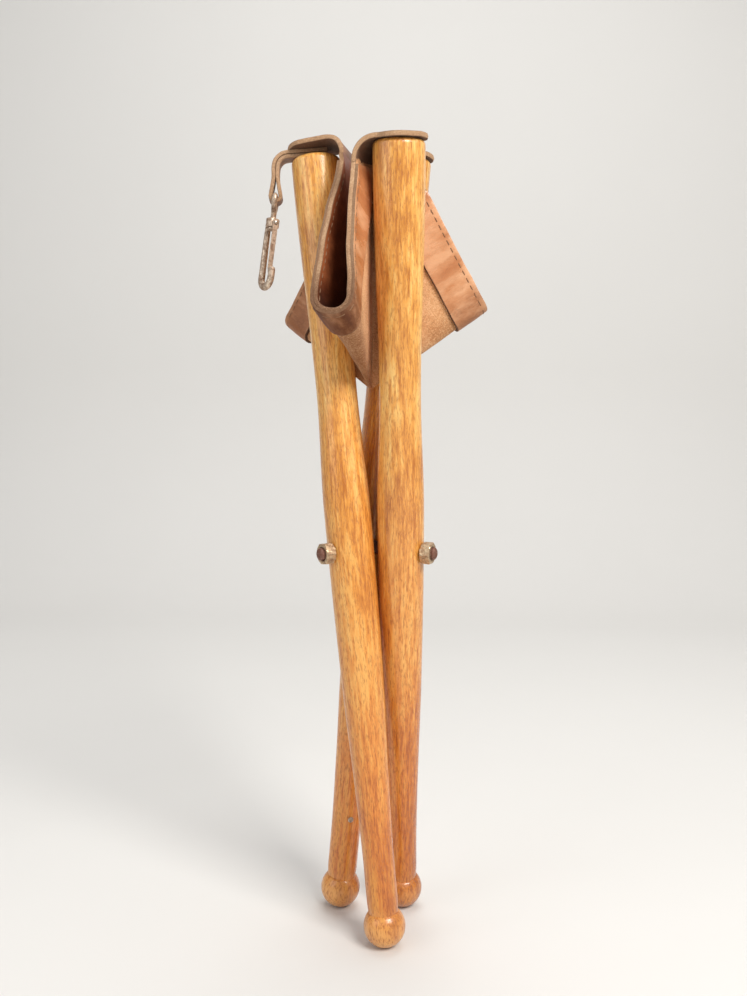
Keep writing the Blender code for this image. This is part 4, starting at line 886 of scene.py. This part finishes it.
def wingBand(name, part):  # sewn band on the flesh side, along the rim
    w = wings[name]
    t, b = hide["leather"], hide["bandLeather"]
    top, low = -t / 2 + 0.0001, -t / 2 - b

    def inner(a):
        return rimReach(w, a, hide["bandWidth"])

    ends = (w["total"], w["sectorAngle"] + w["flatRoll"]) if part else (0.0, w["sectorAngle"])
    back = w["bandStop"][part]
    stop = crossing(lambda a: inner(a) - cornerLine(w, a, back) + 0.001, *ends)
    full = crossing(lambda a: rimReach(w, a) - cornerLine(w, a, back), *ends)
    angles = wingAngles(w, part, [m for m in (stop, full) if m])
    if stop is not None:
        angles = [a for a in angles if (a <= stop if part else a >= stop)]
    loops, flats, weights, wearAndSheen, soilAndShade = [], [], [], [], []
    rows = hide["bandRows"]
    for psi in angles:
        rim = rimReach(w, psi, 0.0001) + rimWander(w, psi)
        outer = min(rim, cornerLine(w, psi, back))
        inside = min(inner(psi) + 0.0006 * ripple((psi * 7, w["turn"], 2), 1.0, 5), outer - 0.0008)
        soft = min(hide["bandRound"], (outer - inside) * 0.3)
        places = [(inside, top), ((inside + outer) / 2, top), (outer, top), (outer, (top + low) / 2),
                  (outer - soft * 0.25, low + soft * 0.3)]
        for k in range(rows + 1):
            r = outer - soft - (outer - inside - 2 * soft) * (k / rows)
            puff = hide["bandPuff"] * sin(pi * k / rows)
            places.append((r, low - puff))
        places.append((inside + soft * 0.25, low + soft * 0.3))
        loops.append(hideColumn(w, psi, places, endTilt(w, part, psi)))
        weights += [foldWeight(w, part, psi)] * len(places)
        # dirt and painted shade along the wing, most under the fold
        soilAndShade += [alongWing(w, psi, w["soilAndShade"])] * len(places)
        # painted highlight: the band turns paler along these stretches, through the same mask as its worn rim
        paintedSheen = alongWing(w, psi, w["paintedSheen"])
        for r, level in places:
            flats.append(hideFlat(w, psi, r, level))
            wearAndSheen.append(max(ease(1 - (outer - r) / 0.006), 0.6 * ease(1 - (r - inside) / 0.003), paintedSheen))
    verts, faces = loft(loops)
    count = len(loops[0])
    # slot 2 paints a shadow line on the band's inner cut edge in the dark flesh colour
    around = [1 if k in (2, 3) else 2 if k > count - 3 else 0 for k in range(count)]
    slots = around * (len(loops) - 1) + [1, 1]
    piece = makePiece(halfName(name, "Band", part), verts, faces, [bandGrain, cutEdge, darkFleshAndShadow], slots)
    setVectors(piece, "hide", flats)
    setFloats(piece, "wearAndSheen", wearAndSheen)
    setFloats(piece, "soilAndShade", soilAndShade)
    bendWith(piece)
    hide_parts(f"{name}_band_second_flap" if part else f"{name}_band_first_flap")
    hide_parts(f"{name}_band_fold")
    return piece


def oneStitch(w, part, y, side, level):  # a short tapered run of thread, its flat places and its bend
    reach = hide["edge"] - hide["stitchIn"]
    sides = 6
    loops, flats, weights = [], [], []
    for along, size in ((-0.5, 0.25), (-0.38, 0.85), (0.0, 1.0), (0.38, 0.85), (0.5, 0.25)):
        yy = y + along * hide["stitchLength"]
        a = pi / 3 + atan(yy / reach) - w["halves"][0]
        r = sqrt(reach ** 2 + yy ** 2)
        direction, normal = wingFrame(w, a)
        outward = (direction * reach - normal.cross(direction) * yy).normalized()
        sunk = side * 0.00008 * (1 if size > 0.5 else -3)
        base = seatCentre + r * direction + (level + hideLift(w, a, r) + sunk) * normal
        thick = hide["threadRadius"] * size
        turns = [2 * pi * q / sides for q in range(sides)]
        loops.append([base + thick * cos(q) * outward + thick * 0.8 * sin(q) * normal for q in turns])
        flats += [hideFlat(w, a, r, level)] * sides
        weights += [foldWeight(w, part, a)] * sides
    return loft(loops), flats, weights


def wingStitches(name, part):  # saddle stitches through hide and band
    w = wings[name]
    reach = hide["edge"] - hide["stitchIn"]
    middle = w["sectorAngle"] + w["flatRoll"] / 2
    parts, flats, weights = [], [], []
    for side, level in ((-1, -hide["leather"] / 2 - hide["bandLeather"] - 0.0001), (1, hide["leather"] / 2)):
        for i in range(-60, 61):
            y = (i + 0.5) * hide["stitchPitch"]
            psi = pi / 3 + atan(y / reach) - w["halves"][0]
            if not 0.01 < psi < w["total"] - 0.01 or (psi <= middle) != (part == 0):
                continue
            if rimReach(w, psi) > cornerLine(w, psi, w["bandStop"][part] + 0.003):
                continue
            shape, flat, weight = oneStitch(w, part, y, side, level)
            parts.append(shape)
            flats += flat
            weights += weight
    verts, faces = joined(parts)
    piece = makePiece(halfName(name, "Stitches", part), verts, faces, [stitchThread])
    setVectors(piece, "hide", flats)
    bendWith(piece)
    return piece


for name in wings:
    for part in (0, 1):
        leather = wingLeather(name, part)
        sewn = [wingBand(name, part), wingStitches(name, part)]
print("seat wings folded and sewn")


def stripShift(corner, angle, r):  # the strip follows the flare of the wings on both sides
    first, last = wingAt(corner, 0), wingAt(corner, 1)
    share = 0.5 + 0.5 * angle / corners[corner]["halfAngle"]
    return (share * hideLift(first, 0.0, r) * first["grainA"]
            + (1 - share) * hideLift(last, last["total"], r) * last["grainB"])


def hidePlace(corner, p):  # where a flat place near a corner lies on its strip or wings, and its normal
    c = corners[corner]
    angle = atan2(p.y, p.x)
    if abs(angle) <= c["halfAngle"]:
        flat = seatCentre + p.x * c["out"] + p.y * c["side"]
        return flat + stripShift(corner, angle, p.length), c["grain"]
    end = 0 if angle > 0 else 1
    w = wingAt(corner, end)
    psi = angle - c["halfAngle"] if end == 0 else w["total"] - (-angle - c["halfAngle"])
    direction, normal = wingFrame(w, psi)
    return seatCentre + p.length * direction + hideLift(w, psi, p.length) * normal, normal


def hermite(p0, m0, p1, m1, s):
    return ((2 * s ** 3 - 3 * s ** 2 + 1) * p0 + (s ** 3 - 2 * s ** 2 + s) * m0
            + (-2 * s ** 3 + 3 * s ** 2) * p1 + (s ** 3 - s ** 2) * m1)


tabForm = {"lanes": 36, "steps": 16, "tail": 14, "drop": 0.030, "inset": 0.93, "slack": 0.03, "bulge": 1.25,
           "short": 0.003, "middle": 0.002, "ripple": 0.0004, "rimOut": 0.0006, "flatLength": 0.065}


def tabSpan(corner):  # where the tab's end starts on the flat hide, and its two ends along that line
    edge = Vector(corners[corner]["edge"])
    along = Vector((-edge.y, edge.x))
    base = corners[corner]["limit"] - hide["cornerCut"]
    ends = []
    for sign in (-1, 1):
        rim = Vector((0.5, sign * sin(pi / 3)))
        ends.append((hide["edge"] - base * edge.dot(rim)) / along.dot(rim))
    return edge, along, base, ends


def tabLanes(corner):  # lines from the tab's far end over the rim to the hide, flat places and bends
    c = corners[corner]
    aside = c["run"].cross(c["up"]).normalized()
    edge, along, base, (low, high) = tabSpan(corner)
    lanes, steps, tail, drop = (tabForm[key] for key in ("lanes", "steps", "tail", "drop"))
    level = tail // 2
    tab, tabRound = Vector(c["tab"]), hide["tabRadius"]
    turns, starts, outs, offsets = [], [], [], []
    for i in range(lanes + 1):
        a = low + (high - low) * i / lanes
        p = base * edge + a * along
        start, normal = hidePlace(corner, p)
        starts.append(start)
        outs.append((start - hidePlace(corner, p - 0.001 * edge)[0]) / 0.001)
        angle = atan2(normal.dot(aside), normal.dot(c["run"]))
        turns.append(angle if angle * a > 0 else angle * 0.3)  # a flap that leaves the leg is drawn in
        offsets.append(a)
    grid, flats, weights = [], [], []
    for i in range(lanes + 1):
        near = turns[max(i - 4, 0):i + 5]
        angle = sum(near) / len(near)
        run = cos(angle) * c["run"] + sin(angle) * aside
        beside = run.cross(c["up"]).normalized()
        y1 = (starts[i] - tab).dot(beside)
        inside = max(-tabRound * tabForm["inset"], min(tabRound * tabForm["inset"], y1))
        y1 = inside + tabForm["slack"] * (y1 - inside)  # lanes drawn in over the rim stay apart
        x1 = c["start"] - tabForm["short"]
        p0 = starts[i]
        p1 = tab + x1 * run + y1 * beside
        reach = (p1 - p0).length * tabForm["bulge"]
        y0 = tabRound * 0.96 * sin(pi / 2 * (2 * i / lanes - 1))
        far = -sqrt(tabRound ** 2 - y0 ** 2)
        mid = tab + y0 * aside - tabForm["middle"] * c["run"]
        span = (p1 - mid).length
        lane, flat = [], []
        for k in range(tail):
            if k < level:
                place = mid + (far + tabForm["middle"]) * (1 - k / level) * c["run"]
            else:
                place = hermite(mid, span * c["run"], p1, span * run, (k - level) / (tail - level))
            lane.append(place + tabForm["ripple"] * ripple((place - tab).to_tuple(), 120, 7) * c["up"])
            flat.append((base + drop + x1 - (place - tab).dot(c["run"])) * edge + y0 * along)
        for k in range(steps + 1):
            s = k / steps
            lane.append(hermite(p1, reach * run, p0, -reach * outs[i], s))
            flat.append((base + drop * (1 - s)) * edge + offsets[i] * along)
        grid.append(lane)
        flats.append(flat)
        weights.append([0.0] * tail + [ease((k / steps - 0.1) / 0.8) for k in range(steps + 1)])
    return grid, flats, weights


def tabNormals(c, grid):
    lanes, rows = len(grid), len(grid[0])
    normals = []
    for i in range(lanes):
        line = []
        for k in range(rows):
            du = grid[min(i + 1, lanes - 1)][k] - grid[max(i - 1, 0)][k]
            dv = grid[i][min(k + 1, rows - 1)] - grid[i][max(k - 1, 0)]
            n = dv.cross(du)
            if n.length < 1e-12:
                n = c["up"].copy()
            n.normalize()
            reference = c["up"] if k < tabForm["tail"] else c["up"] + c["run"] + c["grain"]
            line.append(n if n.dot(reference) > 0 else -n)
        normals.append(line)
    return normals


def cornerTab(corner, strip):  # tab on the leg's top, drawn over its rim down to the strip and the wings
    c = corners[corner]
    t = hide["leather"]
    grid, flats, weights = tabLanes(corner)
    normals = tabNormals(c, grid)
    lanes, rows = len(grid) - 1, len(grid[0])
    border = [(0, k) for k in range(rows)] + [(i, rows - 1) for i in range(1, lanes + 1)]
    border += [(lanes, k) for k in range(rows - 2, -1, -1)] + [(i, 0) for i in range(lanes - 1, 0, -1)]
    verts, flatOut, weightOut, wearAndSheen, faces, slots = [], [], [], [], [], []

    def addPoint(i, k, shift, out):  # out pushes the middle of a cut edge outwards
        p = grid[i][k] + shift * normals[i][k]
        if out and i in (0, lanes):
            p += out * (grid[i][k] - grid[i + (1 if i == 0 else -1)][k]).normalized()
        elif out and k == 0:
            p += out * (grid[i][0] - grid[i][1]).normalized()
        f = flats[i][k]
        flatOut.append(flatPlan(c["turn"], atan2(f.y, f.x), f.length, shift))
        weightOut.append(weights[i][k])
        wearAndSheen.append(1.0 if out else ease(1 - min(i, lanes - i) / 4))
        verts.append(p)
        return len(verts) - 1

    cells = [(i, k) for i in range(lanes + 1) for k in range(rows)]
    top = {cell: addPoint(*cell, t / 2, 0.0) for cell in cells}
    rim = {cell: addPoint(*cell, 0.0, tabForm["rimOut"]) for cell in sorted(border)}
    bottom = {cell: addPoint(*cell, -t / 2, 0.0) for cell in cells}
    for i in range(lanes):
        for k in range(rows - 1):
            around = [(i, k), (i + 1, k), (i + 1, k + 1), (i, k + 1)]
            faces.append([top[cell] for cell in around])
            faces.append([bottom[around[n]] for n in (0, 3, 2, 1)])
            slots += [0, 2]
    for one, other in zip(border, border[1:] + border[:1]):
        faces.append((top[one], top[other], rim[other], rim[one]))
        faces.append((rim[one], rim[other], bottom[other], bottom[one]))
        slots += [1, 1]
    piece = makePiece(f"{corner}CornerTab", verts, faces, [tabGrain, cutEdge, darkFleshAndShadow], slots, 50)
    setVectors(piece, "hide", flatOut)
    setFloats(piece, "wearAndSheen", wearAndSheen)
    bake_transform(piece)
    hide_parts(f"{corner}_corner_tab")


def cornerStrip(corner):  # narrow strip between two wings
    c = corners[corner]
    t, inner = hide["leather"], hide["stripInner"]
    edge = Vector(c["edge"])
    loops, flats = [], []
    columns, rows = 8, 18
    for i in range(columns + 1):
        angle = c["halfAngle"] * (2 * i / columns - 1)
        along = edge.x * cos(angle) + edge.y * sin(angle)
        reach = (c["limit"] - hide["cornerCut"]) / along
        direction = cos(angle) * c["out"] + sin(angle) * c["side"]
        mitre = 0.0
        if i == 0:
            mitre = -ridgeTilt(wingAt(corner, 1), 1)
        elif i == columns:
            mitre = ridgeTilt(wingAt(corner, 0), 0)
        loop = []
        for k, sign in [(k, 1) for k in range(rows + 1)] + [(k, -1) for k in range(rows, -1, -1)]:
            r = inner + (reach - inner) * k / rows
            level = min(t / 2, 0.0002 + 0.08 * r) * sign
            cap = hide["mitreCap"] * r
            shift = -max(-cap, min(cap, level * mitre))
            loop.append(seatCentre + r * direction + level * c["grain"] + shift * c["side"]
                        + stripShift(corner, angle, r))
            flats.append(flatPlan(c["turn"], angle, r, level))
        loops.append(loop)
    verts, faces = loft(loops)
    count = len(loops[0])
    slots = [0 if k < rows else 2 if rows < k < count - 1 else 1 for k in range(count)] * columns + [1, 1]
    piece = makePiece(f"{corner}CornerStrip", verts, faces, [seatGrain, cutEdge, suede], slots)
    setVectors(piece, "hide", flats)
    setFloats(piece, "wearAndSheen", [0.0] * len(flats))
    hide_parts(f"{corner}_corner_strip")
    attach(piece, f"{corner}_strip")
    return piece


for corner in corners:
    cornerTab(corner, cornerStrip(corner))
print("corners drawn over the legs")

# Hanging strap

strap = {"top": (-0.04373, 0.02531, 0.59501), "out": (-0.99390, -0.05986, -0.09258),
         "up": legs["left"]["up"], "leather": 0.0029, "width": 0.0125, "rounding": 0.0005,
         "route": [(-0.009, 0.00175), (0.002, 0.00175), (0.012, 0.00175), (0.0205, 0.00175),
                   (0.02452, 0.00074), (0.02758, -0.00205), (0.02896, -0.00595), (0.02972, -0.01391),
                   (0.0289, -0.02576), (0.02888, -0.02754), (0.02968, -0.02914), (0.03112, -0.03018),
                   (0.03288, -0.03044), (0.03457, -0.02985), (0.03579, -0.02856), (0.03628, -0.02684),
                   (0.03592, -0.0251), (0.0329, -0.01361), (0.03215, -0.00565), (0.03025, -0.00028),
                   (0.02603, 0.00356), (0.0205, 0.00495), (0.012, 0.00495), (0.002, 0.00495),
                   (-0.009, 0.00495)]}


def makeStrap():
    place = axes(strap["out"], strap["up"], strap["top"])
    path = smoothPath([place @ Vector((x, 0, z)) for x, z in strap["route"]], 5)
    across = unit(strap["up"]).cross(unit(strap["out"])).normalized()
    half, t = strap["width"] / 2, strap["leather"] / 2
    length = sum((b - a).length for a, b in zip(path, path[1:]))

    def section(share):
        h = half * (1 + 0.05 * ripple((share * 14, 0, 0), 1.0, 2))
        s = strap["rounding"]
        return [(t, -h + s), (t, -h * 0.5), (t, h * 0.5), (t, h - s), (t - s, h), (0, h + 0.0001),
                (-t + s, h), (-t, h - s), (-t, h * 0.5), (-t, -h * 0.5), (-t, -h + s), (-t + s, -h),
                (0, -h - 0.0001), (t - s, -h)]

    loops = sweep(path, across, section)
    verts, faces = loft(loops)
    count = len(loops[0])
    slots = [0 if k in (0, 1, 2, 7, 8, 9) else 1 for k in range(count)] * (len(loops) - 1) + [1, 1]
    piece = makePiece("hangingStrap", verts, faces, [strapGrain, strapEdge], slots)
    flat = []
    for i in range(len(loops)):
        for a, b in section(i / (len(loops) - 1)):
            flat.append(Vector((length * i / (len(loops) - 1), b, a)))
    setVectors(piece, "hide", flat)
    setFloats(piece, "wearAndSheen", [ease(abs(f.y) / half * 1.2 - 0.3) for f in flat])
    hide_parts("hanging_strap")
    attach(piece, "left_leg")


makeStrap()
print("strap made")

# Snap hook

snap = {"origin": (-0.07348, 0.02131, 0.56549), "x": (-0.99156, -0.04195, 0.12267),
        "z": (0.11864, 0.08793, 0.98904), "turn": 122.0, "play": 0.0003, "wire": 0.0040, "corner": 0.0035,
        "eyeHeight": 0.0140, "eyeHalf": 0.01005, "eyeNeck": 0.0006, "stem": 0.0021, "button": 0.0032,
        "collar": 0.0051, "collarHeight": 0.0065, "collarEdge": 0.0006, "ground": 0.00409,
        "bar": 0.0054, "shank": 0.0063, "drop": 0.041, "bend": 0.0072, "nose": 0.0075,
        "leaf": 0.0009, "leafWidth": 0.0046, "leafEdge": 0.0003, "rivetHead": 0.0017, "rivetRise": 0.0009}
collarMiddle = -snap["eyeHeight"] - snap["wire"] / 2 - snap["play"] - snap["collarHeight"] / 2
hookBend = collarMiddle - snap["drop"]


def roundBar(path, across, radii, flatten=1.0, steps=20, closed=False):
    loops = []
    n = len(path)
    side = unit(across)
    turns = [2 * pi * k / steps for k in range(steps)]
    for i, p in enumerate(path):
        before = path[(i - 1) % n] if closed else path[max(i - 1, 0)]
        after = path[(i + 1) % n] if closed else path[min(i + 1, n - 1)]
        above = side.cross((after - before).normalized()).normalized()
        loops.append([p + radii[i] * (cos(a) * above + flatten * sin(a) * side) for a in turns])
    return ringLoft(loops) if closed else loft(loops)


def makeEye(place):
    half, corner, height, neck = snap["eyeHalf"], snap["corner"], snap["eyeHeight"], snap["eyeNeck"]
    stem, button = snap["stem"], snap["button"]
    ring = [Vector((0, half - corner + corner * sin(a), -corner + corner * cos(a)))
            for a in (0, 0.4, 0.8, 1.2, pi / 2)]
    for k in range(1, 9):
        ring.append(Vector((0, half + (neck - half) * ease(k / 9), -corner - (height - corner) * k / 9)))
    ring.append(Vector((0, neck, -height)))
    ring += [Vector((0, -p.y, p.z)) for p in ring[::-1]]
    radii = [snap["wire"] / 2 * (1.0 - 0.12 * ease(1 - abs(p.z) / 0.004)) for p in ring]  # worn thin on top
    bottom = collarMiddle - snap["collarHeight"] / 2 - snap["play"]
    post = turned([(0.0, -height + 0.0005), (stem, -height), (stem, bottom), (button, bottom - 0.0001),
                   (button, bottom - 0.0010), (stem, bottom - 0.0020), (0.0, bottom - 0.0022)], 28)
    verts, faces = joined([roundBar(ring, (1, 0, 0), radii, closed=True), post])
    eye = makePiece("swivelEye", verts, faces, [snapSteel], matrix=place)
    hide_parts("swivel_eye")
    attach(eye, "eye")


def makeHook(turn):
    x0, bend, nose = -snap["shank"], snap["bend"], snap["nose"]
    route = [(x0 + 0.0024, collarMiddle + 0.0022), (x0 + 0.0006, collarMiddle - 0.001),
             (x0, collarMiddle - 0.006), (x0, (collarMiddle + hookBend) / 2), (x0, hookBend + 0.003)]
    for k in range(9):
        a = pi + pi * k / 8
        route.append((x0 + bend + bend * cos(a), hookBend + bend * sin(a)))
    route += [(x0 + 2 * bend, hookBend + nose * 0.6), (x0 + 2 * bend, hookBend + nose)]
    path = smoothPath([Vector((x, 0, z)) for x, z in route], 4)
    radii = []
    for i in range(len(path)):
        s = i / (len(path) - 1)
        size = 0.80 + 0.20 * ease(s / 0.35)
        size *= 1.0 if s < 0.93 else sqrt(max(1 - ((s - 0.93) / 0.075) ** 2, 0.12))  # rounded nose
        radii.append(snap["bar"] / 2 * size)
    bar = roundBar(path, (0, 1, 0), radii, 0.96)
    h, r, e, bore = snap["collarHeight"] / 2, snap["collar"], snap["collarEdge"], snap["stem"] + snap["play"]
    collar = turned([(bore, collarMiddle + h), (r - e, collarMiddle + h), (r, collarMiddle + h - e),
                     (r * 0.96, collarMiddle), (r, collarMiddle - h + e), (r - e, collarMiddle - h),
                     (bore, collarMiddle - h), (bore, collarMiddle + h)], 40)
    verts, faces = joined([bar, collar])
    for v in verts:  # ground flat that seats the leaf
        if v.x > snap["ground"] and abs(v.z - collarMiddle) < h + 0.0004:
            v.x = snap["ground"]
    hook = makePiece("hookBody", verts, faces, [snapSteel], matrix=turn)
    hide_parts("hook_body")
    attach(hook, "hook")


def makeTongue(turn):
    seat = snap["collar"] * 0.86
    root = seat + snap["leaf"] / 2
    nose = -snap["shank"] + 2 * snap["bend"] - snap["bar"] / 2 - 0.0003 - snap["leaf"] / 2
    tip = hookBend + snap["nose"] * 0.45
    low = collarMiddle - snap["collarHeight"] / 2
    line = [(root, collarMiddle + 0.0023), (root, collarMiddle), (root, low),
            (root * 0.6 + nose * 0.4, low * 0.65 + tip * 0.35),
            (root * 0.2 + nose * 0.8, low * 0.3 + tip * 0.7), (nose, tip)]
    path = smoothPath([Vector((x, 0, z)) for x, z in line], 5)

    def section(share):
        w = snap["leafWidth"] / 2 * (1 - 0.18 * share) * (1.0 if 0.05 < share < 0.96 else 0.75)
        t, e = snap["leaf"] / 2, snap["leafEdge"]
        return [(t, -w + e), (t, w - e), (t * 0.4, w), (-t * 0.4, w), (-t, w - e), (-t, -w + e),
                (-t * 0.4, -w), (t * 0.4, -w)]

    verts, faces = loft(sweep(path, Vector((0, 1, 0)), section))
    leaf = makePiece("hookTongue", verts, faces, [snapSteel], matrix=turn)
    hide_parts("hook_tongue")
    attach(leaf, "tongue")
    head, rise = snap["rivetHead"], snap["rivetRise"]
    profile = [(0.0, rise)] + [(head * sin(a), rise * cos(a)) for a in (0.4, 0.8, 1.2, 1.5)]
    verts, faces = turned(profile + [(0.0009, 0.0), (0.0009, -0.0017), (0.0, -0.0018)], 28)
    at = axes((0, 1, 0), (1, 0, 0), (seat + snap["leaf"] + 0.0003, 0, collarMiddle))
    rivet = makePiece("tongueRivet", verts, faces, [screwIron], matrix=turn @ at)
    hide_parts("tongue_rivet")
    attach(rivet, "tongue")


snapPlace = axes(snap["x"], snap["z"], snap["origin"])
snapTurn = snapPlace @ Matrix.Rotation(radians(snap["turn"]), 4, "Z")
makeEye(snapPlace)
makeHook(snapTurn)
makeTongue(snapTurn)
print("snap hook made")

# Stage: pale floor and backdrop, soft lights, camera

stage = {"floor": (0.72, 0.71, 0.69), "floorDark": (0.64, 0.63, 0.61), "front": -4.0, "wall": 1.6,
         "curve": 0.5, "half": 4.0, "height": 5.0, "floorDrop": 0.0002, "aim": (0, 0, 0.33), "sky": 0.34,
         "lights": (("key", (0.95, -1.25, 1.75), 0.9, 44.0, (1.0, 0.97, 0.93)),
                    ("fill", (-1.5, -1.0, 1.1), 1.4, 9.0, (0.96, 0.98, 1.0)),
                    ("top", (0.1, 0.5, 2.1), 1.2, 16.0, (1.0, 1.0, 1.0)))}
view = {"place": (0.002086, -0.728674, 0.410677), "turn": (84.55717, -0.46897, 0.06514), "focal": 973.29,
        "image": (747, 996)}


def makeFloor():
    bendStart = stage["wall"] - stage["curve"]
    profile = [(stage["front"], 0.0), (-1.0, 0.0), (0.0, 0.0), (bendStart, 0.0)]
    for k in range(1, 13):
        a = pi / 2 * k / 12
        profile.append((bendStart + stage["curve"] * sin(a), stage["curve"] * (1 - cos(a))))
    profile.append((stage["wall"], stage["height"]))
    verts = [(x, y, z) for x in (-stage["half"], stage["half"]) for y, z in profile]
    n = len(profile)
    faces = [(k, k + 1, n + k + 1, n + k) for k in range(n - 1)]
    material, tree, shader = startMaterial("paleFloor")
    place = put(tree, "ShaderNodeTexCoord").outputs["Object"]
    tone = spread(tree, speckle(tree, place, 3.0, 3.0), 0.3, 0.7, 0.0, 0.12)
    tree.links.new(mixColour(tree, tone, stage["floor"], stage["floorDark"]), shader["Base Color"])
    shader["Roughness"].default_value = 0.75
    mesh = bpy.data.meshes.new("paleFloor")
    mesh.from_pydata(verts, [], faces)
    mesh.materials.append(material)
    mesh.shade_smooth()
    floor = bpy.data.objects.new("paleFloor", mesh)
    bpy.context.scene.collection.objects.link(floor)
    floor.location.z = -stage["floorDrop"]


def makeLights():
    for name, where, size, power, colour in stage["lights"]:
        lamp = bpy.data.lights.new(name, "AREA")
        lamp.size = size
        lamp.energy = power
        lamp.color = colour
        holder = bpy.data.objects.new(name, lamp)
        holder.location = where
        holder.rotation_euler = (Vector(stage["aim"]) - Vector(where)).to_track_quat("-Z", "Y").to_euler()
        bpy.context.scene.collection.objects.link(holder)
    world = bpy.data.worlds.new("studio")
    bpy.context.scene.world = world
    world.use_nodes = True
    back = world.node_tree.nodes["Background"]
    back.inputs["Color"].default_value = (1, 1, 1, 1)
    back.inputs["Strength"].default_value = stage["sky"]


makeFloor()
makeLights()
camera = bpy.data.cameras.new("camera")
camera.sensor_fit = "VERTICAL"
camera.sensor_height = 36.0
camera.sensor_width = 36.0
camera.lens = view["focal"] / view["image"][1] * 36.0
camera.clip_start = 0.01
holder = bpy.data.objects.new("camera", camera)
holder.location = view["place"]
holder.rotation_euler = [radians(a) for a in view["turn"]]
bpy.context.scene.collection.objects.link(holder)
bpy.context.scene.camera = holder
bpy.context.scene.view_settings.view_transform = "Standard"
print("stage set")
